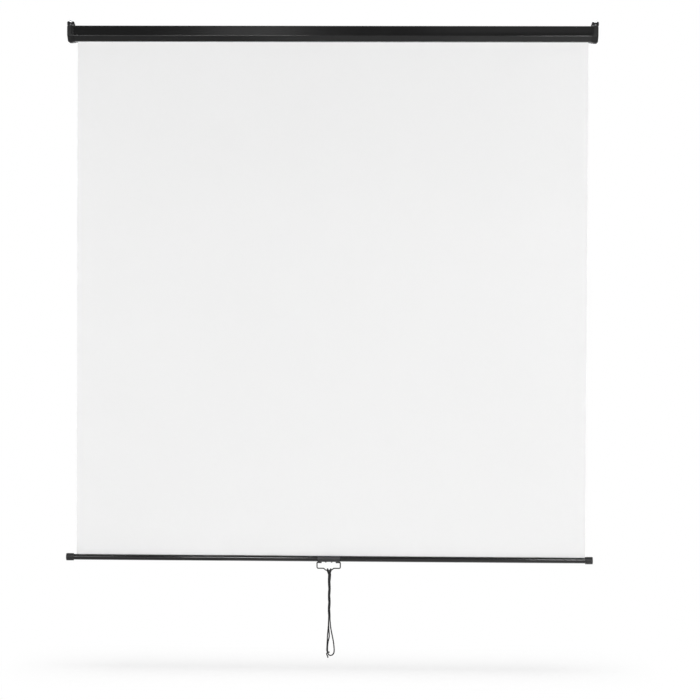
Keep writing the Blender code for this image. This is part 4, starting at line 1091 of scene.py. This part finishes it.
def end_cap(sizes):
    """The right-hand end cap: a domed plate, a stepped collar, and a lug with a slot for the ring."""
    outer = CAP_HIGH.x - LUG_OUTSET
    collar_start = CASE_HIGH.x + CASE_GAP - sizes.cap_collar
    seat = CASE_HIGH.x + CASE_GAP
    corner = (sizes.cap_corner,) * 5
    plate = block(cap_outline(sizes, 0.0), corner, seat, outer, "X")
    bevel_edges(plate, rim_at(plate, outer), sizes.cap_dome, RIM_STEPS)
    bevel_edges(plate, rim_at(plate, seat), sizes.cap_step / 2, EDGE_STEPS)
    stepped = cap_outline(sizes, sizes.cap_step)
    collar = block(stepped, corner, collar_start, seat + sizes.cap_wall, "X")
    bevel_edges(collar, rim_at(collar, collar_start), sizes.cap_step / 2, EDGE_STEPS)
    around = list(case_corners(sizes, CASE_GAP)[1:6])
    around[0] = (CUT_MARGIN, around[0][1])
    around[1] = (CUT_MARGIN, around[1][1])
    inside = block(around, case_bends(sizes, CASE_GAP)[1:6], collar_start - CUT_MARGIN, seat, "X")
    wall = CAP_POCKET_WALL
    hollow = (
        (-wall, CASE_LOW.z + wall),
        (-wall, CASE_HIGH.z - wall),
        (CASE_LOW.y + wall, CASE_HIGH.z - wall),
        (CASE_LOW.y + wall, CASE_HIGH.z - sizes.case_front),
        (CASE_LOW.y + sizes.case_slant, CASE_LOW.z + wall),
    )
    pocket = block(hollow, (wall,) * 5, seat - CUT_MARGIN, seat + CAP_POCKET_DEPTH, "X")
    face = seat - BOSS_REACH
    root = seat + CAP_POCKET_DEPTH + CUT_MARGIN
    shaft = (PIN_HIGH.z - PIN_LOW.z) / 2
    boss_profile = ((face, shaft), (face, BOSS_RADIUS), (root, BOSS_RADIUS), (root, shaft))
    boss = turned(boss_profile, (0.0, ROLLER_AXIS.y, ROLLER_AXIS.z), (1, 0, 0))
    half_x = (RING_HIGH.x - RING_LOW.x) / 2 + RING_SIDE_GAP
    half_y = (RING_HIGH.y - RING_LOW.y) / 2 + RING_SIDE_GAP
    slot = box(
        (RING_MIDDLE.x - half_x, RING_MIDDLE.y - half_y, RING_LOW.z - CASE_GAP),
        (RING_MIDDLE.x + half_x, RING_MIDDLE.y + half_y, CAP_HIGH.z + CUT_MARGIN),
    )
    work = carved(
        plate,
        [
            ("UNION", collar),
            ("DIFFERENCE", inside),
            ("DIFFERENCE", pocket),
            ("UNION", boss),
            ("UNION", lug_block(sizes, outer)),
            ("DIFFERENCE", slot),
        ],
    )
    return polish_collar(work, sizes)


def mirrored(work):
    """The same shape for the left-hand end."""
    bmesh.ops.scale(work, vec=(-1.0, 1.0, 1.0), verts=work.verts)
    bmesh.ops.recalc_face_normals(work, faces=work.faces)
    return work


class SCREEN_OT_end_caps(bpy.types.Operator):
    """Make the moulded end caps with their lugs"""

    bl_idname = "projection_screen.end_caps"
    bl_label = "End caps"

    def execute(self, context):
        sizes, colours = sizes_of(context), colours_of(context)
        plastic = moulded("cap_plastic", colours.plastic, roughness=0.5, specular=0.09)
        smooth_plastic = moulded("collar_plastic", colours.paint, roughness=0.22, specular=0.09)
        shapes = {"right": end_cap(sizes), "left": mirrored(end_cap(sizes))}
        for word, work in shapes.items():
            cap = piece(f"{word}_cap", work, plastic, "case", "black_plastic", f"{word}_end_cap")
            cap.data.materials.append(smooth_plastic)
        return {"FINISHED"}


# Hanger rings
RING_CORNER = 0.0032
RING_WIRE = 0.0028

# Screws, as shares of the head's radius
SCREW_HEIGHT = 0.66
SCREW_SHANK = 0.56
SCREW_CROWN = 0.55
RECESS_REACH = 0.5456
RECESS_WIDTH = 0.2

# Screws, as shares of the head's height
CROWN_HEIGHT = 0.6
RECESS_DEPTH = 0.45

# Threads, and their depth as a share of the shank's radius
THREAD_TURNS = 6
THREAD_DEPTH = 0.12


def hanger_ring(side):
    """The oval link that stands in a lug."""
    half = (RING_HIGH.x - RING_LOW.x - RING_WIRE) / 2
    low, high = RING_LOW.z + RING_WIRE / 2, RING_HIGH.z - RING_WIRE / 2
    left, right = side * RING_MIDDLE.x - half, side * RING_MIDDLE.x + half
    outline = ((left, low), (right, low), (right, high), (left, high))
    corners = [(x, RING_MIDDLE.y, z) for x, z in outline]
    path = arc_path(corners, (RING_CORNER,) * len(corners), closed=True)
    return tube(path, RING_WIRE / 2, closed=True)


def cross_head_screw(node, way):
    """A pan-head screw in the place of a CAD screw, with a threaded shank and a cross recess."""
    low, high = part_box(node)
    centre = (low + high) / 2
    along = max(range(3), key=lambda axis: abs(way[axis]))
    length = (high - low)[along]
    head = max((high - low)[axis] for axis in range(3) if axis != along) / 2
    tall = head * SCREW_HEIGHT
    shank = head * SCREW_SHANK
    profile = [(0.0, 0.0)]
    for step in range(EDGE_STEPS * 2 + 1):
        lean = math.pi / 2 * step / (EDGE_STEPS * 2)
        wide = head * SCREW_CROWN + head * (1 - SCREW_CROWN) * math.sin(lean)
        profile.append((tall * CROWN_HEIGHT * (1 - math.cos(lean)), wide))
    profile += [(tall, head), (tall, shank)]
    pitch = (length - tall - shank) / THREAD_TURNS
    for turn in range(THREAD_TURNS):
        start = tall + pitch * turn
        profile += [(start + pitch / 2, shank * (1 - THREAD_DEPTH)), (start + pitch, shank)]
    profile.append((length, 0.0))
    start = Vector(centre)
    start[along] = low[along] if way[along] > 0 else high[along]
    work = turned(profile, (0.0, 0.0, 0.0), (1, 0, 0), ROUND_STEPS // 2)
    deep = tall * RECESS_DEPTH
    reach, wide = head * RECESS_REACH, head * RECESS_WIDTH / 2
    arms = [box((-CUT_MARGIN, -y, -z), (deep, y, z)) for y, z in ((reach, wide), (wide, reach))]
    work = carved(work, [("DIFFERENCE", arm) for arm in arms])
    turn = Vector(way).to_track_quat("X", "Z").to_matrix().to_4x4()
    bmesh.ops.transform(work, matrix=Matrix.Translation(start) @ turn, verts=work.verts)
    return work


class SCREEN_OT_hangers(bpy.types.Operator):
    """Make the hanger rings and the screws of the end caps"""

    bl_idname = "projection_screen.hangers"
    bl_label = "Hanger rings and screws"

    def execute(self, context):
        zinc, screw = colours_of(context).zinc, colours_of(context).screw
        bright = plated("zinc_plate", zinc, roughness=0.24, tint=lighter(zinc, 0.15))
        dark = plated("screw_plate", screw, roughness=0.36, tint=lighter(screw, 0.08))
        for word, side in SIDES:
            ring = f"{word}_hanger_ring"
            piece(f"{ring}_link", hanger_ring(side), bright, "case", "zinc", ring)
            screws = [(f"{word}_hanger_screw", (0, 1, 0))]
            screws += [(f"{word}_{place}_cap_screw", (0, 0, -1)) for place in ("front", "back")]
            for node, way in screws:
                piece(f"{node}_turned", cross_head_screw(node, way), dark, "case", "zinc", node)
        return {"FINISHED"}


# Where the sheet's curl and ripple rise and fade, as shares of its height
CURL_RISE = 0.15
CURL_TOP = 0.85
CURL_FADE = 0.25

# The sheet's grid, curl, ripple and weave, and its turns on the roller
SHEET_COLUMNS = 96
SHEET_ROWS = 72
CURL_WIDTH = 0.055
RIPPLES_ACROSS = 2.5
RIPPLE_START = 0.7
SHEET_PITCH = 0.0009
ROLL_CLEAR = 0.0001
WRAP_STEPS = 48
SPARE_TURNS = 1.75


def sheet_bow(sizes, x, share):
    """How far the sheet stands forward of its plane, at a share of its height from the bar up."""
    free = max(0.0, min(share / CURL_RISE, (CURL_TOP - share) / CURL_FADE, 1.0))
    free = free * free * (3 - 2 * free)
    inset = max(0.0, 1 - (SHEET_HIGH.x - abs(x)) / CURL_WIDTH)
    phase = math.tau * RIPPLES_ACROSS * x / (SHEET_HIGH.x - SHEET_LOW.x) + RIPPLE_START + share
    return free * (sizes.sheet_curl * inset * inset + sizes.sheet_ripple * math.sin(phase))


class SCREEN_OT_sheet(bpy.types.Operator):
    """Make the white sheet, its turns on the roller and its hem in the bar"""

    bl_idname = "projection_screen.sheet"
    bl_label = "Sheet"

    def execute(self, context):
        sizes, colours = sizes_of(context), colours_of(context)
        white = cloth("sheet_cloth", colours.sheet, SHEET_PITCH)
        back = cloth("sheet_cloth_back", colours.sheet_back, SHEET_PITCH)
        sheet = self.hung(sizes, white, back)
        roll = piece("sheet_roll", self.rolled(), white, "roller", "white_sheet", "fabric_wrap")
        hem = piece("sheet_hem", self.hemmed(), white, "bottom_bar", "white_sheet", "fabric_hem")
        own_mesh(sheet)
        return {"FINISHED"}

    def hung(self, sizes, white, back):
        """The hanging part: a grid with a slow ripple and curled edges, thickened backwards."""
        work = bmesh.new()
        bmesh.ops.create_grid(work, x_segments=SHEET_COLUMNS, y_segments=SHEET_ROWS, size=1.0)
        half = (SHEET_HIGH.x - SHEET_LOW.x) / 2
        for corner in work.verts:
            x = half * math.sin(corner.co.x * math.pi / 2)
            share = (corner.co.y + 1) / 2
            bow = sheet_bow(sizes, x, share)
            corner.co = (x, SHEET_LOW.y - bow, HEM_HIGH.z + (SHEET_HIGH.z - HEM_HIGH.z) * share)
        bmesh.ops.recalc_face_normals(work, faces=work.faces)
        if next(iter(work.faces)).normal.y > 0:
            bmesh.ops.reverse_faces(work, faces=work.faces)
        bmesh.ops.solidify(work, geom=work.faces[:], thickness=SHEET_HIGH.y - SHEET_LOW.y)
        in_order(tidy(work))
        for face in work.faces:
            face.material_index = int(face.normal.y > FACING)
        sheet = piece("projection_sheet", work, white, "case", "white_sheet", "screen_fabric")
        sheet.data.materials.append(back)
        return sheet

    def rolled(self):
        """The turns that stay on the roller."""
        work = bmesh.new()
        thick = SHEET_HIGH.y - SHEET_LOW.y
        outer = SHEET_LOW.y - ROLLER_AXIS.y - ROLL_CLEAR
        points = []
        steps = round(SPARE_TURNS * WRAP_STEPS)
        for step in range(steps + 1):
            turn = step / WRAP_STEPS
            radius = outer - turn * (thick + CASE_GAP)
            angle = math.tau * turn
            y, z = ROLLER_AXIS.y + radius * math.cos(angle), radius * math.sin(angle)
            points.append((WRAP_LOW.x, y, z))
        wire_of(work, points)
        run_along_x(work, WRAP_HIGH.x - WRAP_LOW.x)
        return walled(work, -thick, lambda face: face.calc_center_median() - ROLLER_AXIS)

    def hemmed(self):
        """The hem: a loop round the rod, closed by a tongue that stands in the bar's slot."""
        work = bmesh.new()
        thick = SHEET_HIGH.y - SHEET_LOW.y
        rod = (ROD_LOW + ROD_HIGH) / 2
        radius = (ROD_HIGH.z - ROD_LOW.z) / 2 + CASE_GAP
        stem = math.asin(thick / 2 / radius)
        points = [(HEM_LOW.x, rod.y + thick / 2, HEM_HIGH.z)]
        steps = WRAP_STEPS // 2
        for step in range(steps + 1):
            angle = math.pi / 2 - stem - (math.tau - 2 * stem) * step / steps
            y, z = rod.y + radius * math.cos(angle), rod.z + radius * math.sin(angle)
            points.append((HEM_LOW.x, y, z))
        points.append((HEM_LOW.x, rod.y - thick / 2, HEM_HIGH.z))
        wire_of(work, points)
        run_along_x(work, HEM_HIGH.x - HEM_LOW.x)
        return walled(work, -thick / 2, lambda face: face.calc_center_median() - rod)


def ring_wire(radius, opening, centre, low):
    """Points round a tube, open at its top by an angle each way."""
    points = []
    for step in range(ROUND_STEPS + 1):
        angle = opening + (math.tau - 2 * opening) * step / ROUND_STEPS
        points.append((low, centre.y + radius * math.sin(angle), centre.z + radius * math.cos(angle)))
    return points


def open_tube(radius, opening, wall, centre, low, high):
    """A tube along X with a slot along its top."""
    work = bmesh.new()
    wire_of(work, ring_wire(radius, opening, centre, low))
    run_along_x(work, high - low)
    return walled(work, wall, lambda face: face.calc_center_median() - centre)


# The cups on the bar's ends
BAR_CAP_EDGE = 0.0015
BAR_CAP_GROOVE = 0.0005
BAR_CAP_GROOVE_AT = 0.0035


def bar_cap(node, side):
    """A moulded cup over one end of the bar, with a shallow groove behind its mouth."""
    low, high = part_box(node)
    outer, inner = (high.x, low.x) if side > 0 else (low.x, high.x)
    length = abs(outer - inner)
    edge, radius, bore = BAR_CAP_EDGE, BAR_CAP_RADIUS, BAR_RADIUS + CASE_GAP
    floor = abs(outer - (BAR_HIGH.x if side > 0 else BAR_LOW.x)) - CASE_GAP
    profile = [(0.0, 0.0)]
    for step in range(BEND_STEPS + 1):
        lean = math.pi / 2 * step / BEND_STEPS
        profile.append((edge * (1 - math.cos(lean)), radius - edge + edge * math.sin(lean)))
    mouth = length - BAR_CAP_GROOVE_AT
    profile += [
        (mouth - 2 * BAR_CAP_GROOVE, radius),
        (mouth - BAR_CAP_GROOVE, radius - BAR_CAP_GROOVE),
        (mouth, radius),
        (length - BAR_CAP_GROOVE, radius),
        (length, radius - BAR_CAP_GROOVE),
        (length, bore),
        (floor, bore),
        (floor, 0.0),
    ]
    return turned(profile, (outer, BAR_AXIS.y, BAR_AXIS.z), (-side, 0, 0))


class SCREEN_OT_bar(bpy.types.Operator):
    """Make the round bar and its end caps"""

    bl_idname = "projection_screen.bar"
    bl_label = "Bar"

    def execute(self, context):
        sizes, colours = sizes_of(context), colours_of(context)
        opening = math.asin(sizes.bar_slot / 2 / BAR_RADIUS)
        work = open_tube(BAR_RADIUS, opening, sizes.bar_wall, BAR_AXIS, BAR_LOW.x, BAR_HIGH.x)
        paint = powder_coat("bar_paint", colours.paint, roughness=0.10, specular=0.15)
        piece("bar_round", work, paint, "bottom_bar", "black_steel", "bar_tube")
        plastic = moulded("bar_cap_plastic", colours.plastic, roughness=0.48)
        for word, side in SIDES:
            node = f"{word}_bar_cap"
            piece(f"{node}_cup", bar_cap(node, side), plastic, "bottom_bar", "black_plastic", node)
        return {"FINISHED"}


# The clip, its pips and the wire handle
SADDLE_OPENING = math.radians(25)
KNUCKLE_LENGTH = 0.0123
KNUCKLE_INSET = 0.0001
KNUCKLE_RADIUS = 0.00255
BAIL_WIRE = 0.003
BAIL_COAT = 0.00025
BAIL_PIN_LENGTH = 0.0090
BAIL_DROP = 0.0182
BAIL_CORNER = 0.0040
BAIL_PIN_CORNER = 0.0020
BAIL_DIP_FLAT = 0.0172
BAIL_DIP_WIDTH = 0.0310
BAIL_DIP_RADIUS = 0.0030
PIP_LEAN = math.radians(112)
PIP_HALF = 0.0018
PIP_RISE = 0.0014
PIP_COUNT = 11
PIP_SEGMENTS = 14
PIP_RINGS = 8


def saddle_block(sizes):
    """The clip: an open sleeve round the bar with a knuckle at each end for the wire."""
    low, high = SADDLE_LOW.x, SADDLE_HIGH.x
    sleeve = open_tube(SADDLE_RADIUS, SADDLE_OPENING, sizes.saddle_wall, BAR_AXIS, low, high)
    half = (high - low) / 2
    fine = ROUND_STEPS // 2
    # The rods' facets start at different angles, so that no edge falls on another rod's edge
    facet = math.tau / fine
    knuckles = []
    for _, side in SIDES:
        ends = sorted(SADDLE_MIDDLE + side * (half - back) for back in (KNUCKLE_LENGTH, KNUCKLE_INSET))
        knuckles.append(rod_of(*ends, KNUCKLE_RADIUS, BAIL_AXIS, fine, facet / 2))
    work = carved(sleeve, [("UNION", joined(*knuckles))])
    bmesh.ops.triangulate(work, faces=work.faces)
    # The bore trims the knuckles, and stays clear of the sleeve's own inner wall
    ends = (SADDLE_MIDDLE - half - CUT_MARGIN, SADDLE_MIDDLE + half + CUT_MARGIN)
    bore = rod_of(*ends, BAR_RADIUS + CASE_GAP / 2, BAR_AXIS)
    hole = rod_of(*ends, BAIL_WIRE / 2 + CASE_GAP, BAIL_AXIS, fine, facet / 4)
    return carved(work, [("DIFFERENCE", joined(bore, hole))])


def grip_pips(sizes):
    """A row of small pips along the clip's lower front."""
    pips = []
    out = Vector((0.0, -math.sin(PIP_LEAN), math.cos(PIP_LEAN)))
    turn = out.to_track_quat("Z", "X").to_matrix().to_4x4()
    flat = Matrix.Diagonal((PIP_HALF, PIP_HALF, PIP_RISE, 1.0))
    for index in range(PIP_COUNT):
        x = SADDLE_MIDDLE + (index - (PIP_COUNT - 1) / 2) * sizes.pip_pitch
        place = Vector((x, BAR_AXIS.y, BAR_AXIS.z)) + out * SADDLE_RADIUS
        work = bmesh.new()
        bmesh.ops.create_uvsphere(
            work, u_segments=PIP_SEGMENTS, v_segments=PIP_RINGS, radius=1.0,
            matrix=Matrix.Translation(place) @ turn @ flat,
        )
        pips.append(work)
    return in_order(joined(*pips))


def bail_path():
    """The line of the handle's wire, from one inturned end to the other."""
    leg = BAIL_HIGH.x - BAIL_WIRE / 2 - BAIL_AXIS.x
    dip = BAIL_AXIS.z - CORD_AXIS.z
    half = (
        (leg - BAIL_PIN_LENGTH, 0.0),
        (leg, 0.0),
        (leg, -BAIL_DROP),
        (BAIL_DIP_WIDTH / 2, -BAIL_DROP),
        (BAIL_DIP_FLAT / 2, -dip),
    )
    bends = (0, BAIL_PIN_CORNER, BAIL_CORNER, BAIL_DIP_RADIUS, BAIL_DIP_RADIUS)
    corners = half + tuple((-x, z) for x, z in half[::-1])
    return arc_path([BAIL_AXIS + Vector((x, 0.0, z)) for x, z in corners], bends + bends[::-1])


class SCREEN_OT_handle(bpy.types.Operator):
    """Make the clip on the bar, its screws and the wire handle"""

    bl_idname = "projection_screen.handle"
    bl_label = "Handle"

    def execute(self, context):
        sizes, colours = sizes_of(context), colours_of(context)
        plastic = moulded("clip_plastic", colours.clip, roughness=0.46, specular=0.12)
        clip = saddle_block(sizes)
        piece("handle_clip", clip, plastic, "bottom_bar", "black_plastic", "handle_saddle")
        piece("clip_pips", grip_pips(sizes), plastic, "bottom_bar", "black_plastic")
        paint = powder_coat("wire_paint", colours.paint, roughness=0.34)
        wire = tube(bail_path(), BAIL_WIRE / 2 + BAIL_COAT)
        piece("handle_wire", wire, paint, "pull_bail", "black_steel", "pull_bail")
        for word, _ in SIDES:
            node = f"{word}_saddle_screw"
            work = cross_head_screw(node, (0, 0, 1))
            piece(f"{node}_turned", work, paint, "bottom_bar", "black_steel", node)
        return {"FINISHED"}


class SCREEN_OT_inside(bpy.types.Operator):
    """Finish the roller, its spring and its lock, which keep their CAD shapes"""

    bl_idname = "projection_screen.inside"
    bl_label = "Roller, spring and lock"

    def execute(self, context):
        colours = colours_of(context)
        finishes = {
            "zinc": plated("shaft_zinc", colours.zinc, 0.30, tint=lighter(colours.zinc, 0.15)),
            "spring_steel": plated("spring_wire", colours.spring, 0.34, tint=lighter(colours.spring, 0.1)),
            "grey_plastic": moulded("plug_plastic", colours.inner, roughness=0.5, specular=0.4),
        }
        slots = {part["node"]: part["material_slot"] for part in frame["record"]["subparts"]}
        for node, thing in frame["nodes"].items():
            if thing.hide_render:
                continue
            thing.data.materials.clear()
            thing.data.materials.append(finishes[slots[node]])
        return {"FINISHED"}


class SCREEN_PT_pieces(bpy.types.Panel):
    """The screen's sizes, colours and pieces"""

    bl_label = "Projection screen"
    bl_idname = "SCREEN_PT_pieces"
    bl_space_type = "VIEW_3D"
    bl_region_type = "UI"
    bl_category = "Screen"

    def draw(self, context):
        for operator in OPERATORS:
            self.layout.operator(operator.bl_idname)
        for group in (sizes_of(context), colours_of(context)):
            column = self.layout.column(align=True)
            for name in group.__annotations__:
                column.prop(group, name)


OPERATORS = (
    SCREEN_OT_stage,
    SCREEN_OT_cord,
    SCREEN_OT_case,
    SCREEN_OT_end_caps,
    SCREEN_OT_hangers,
    SCREEN_OT_sheet,
    SCREEN_OT_bar,
    SCREEN_OT_handle,
    SCREEN_OT_inside,
)
CLASSES = (ScreenSizes, ScreenFinishes, *OPERATORS, SCREEN_PT_pieces)


def register():
    for kind in CLASSES:
        bpy.utils.register_class(kind)
    bpy.types.Scene.screen_sizes = bpy.props.PointerProperty(type=ScreenSizes)
    bpy.types.Scene.screen_finishes = bpy.props.PointerProperty(type=ScreenFinishes)


def unregister():
    del bpy.types.Scene.screen_finishes
    del bpy.types.Scene.screen_sizes
    for kind in reversed(CLASSES):
        bpy.utils.unregister_class(kind)


def main():
    register()
    for operator in OPERATORS:
        group, name = operator.bl_idname.split(".")
        getattr(getattr(bpy.ops, group), name)()


if __name__ == "__main__":
    main()
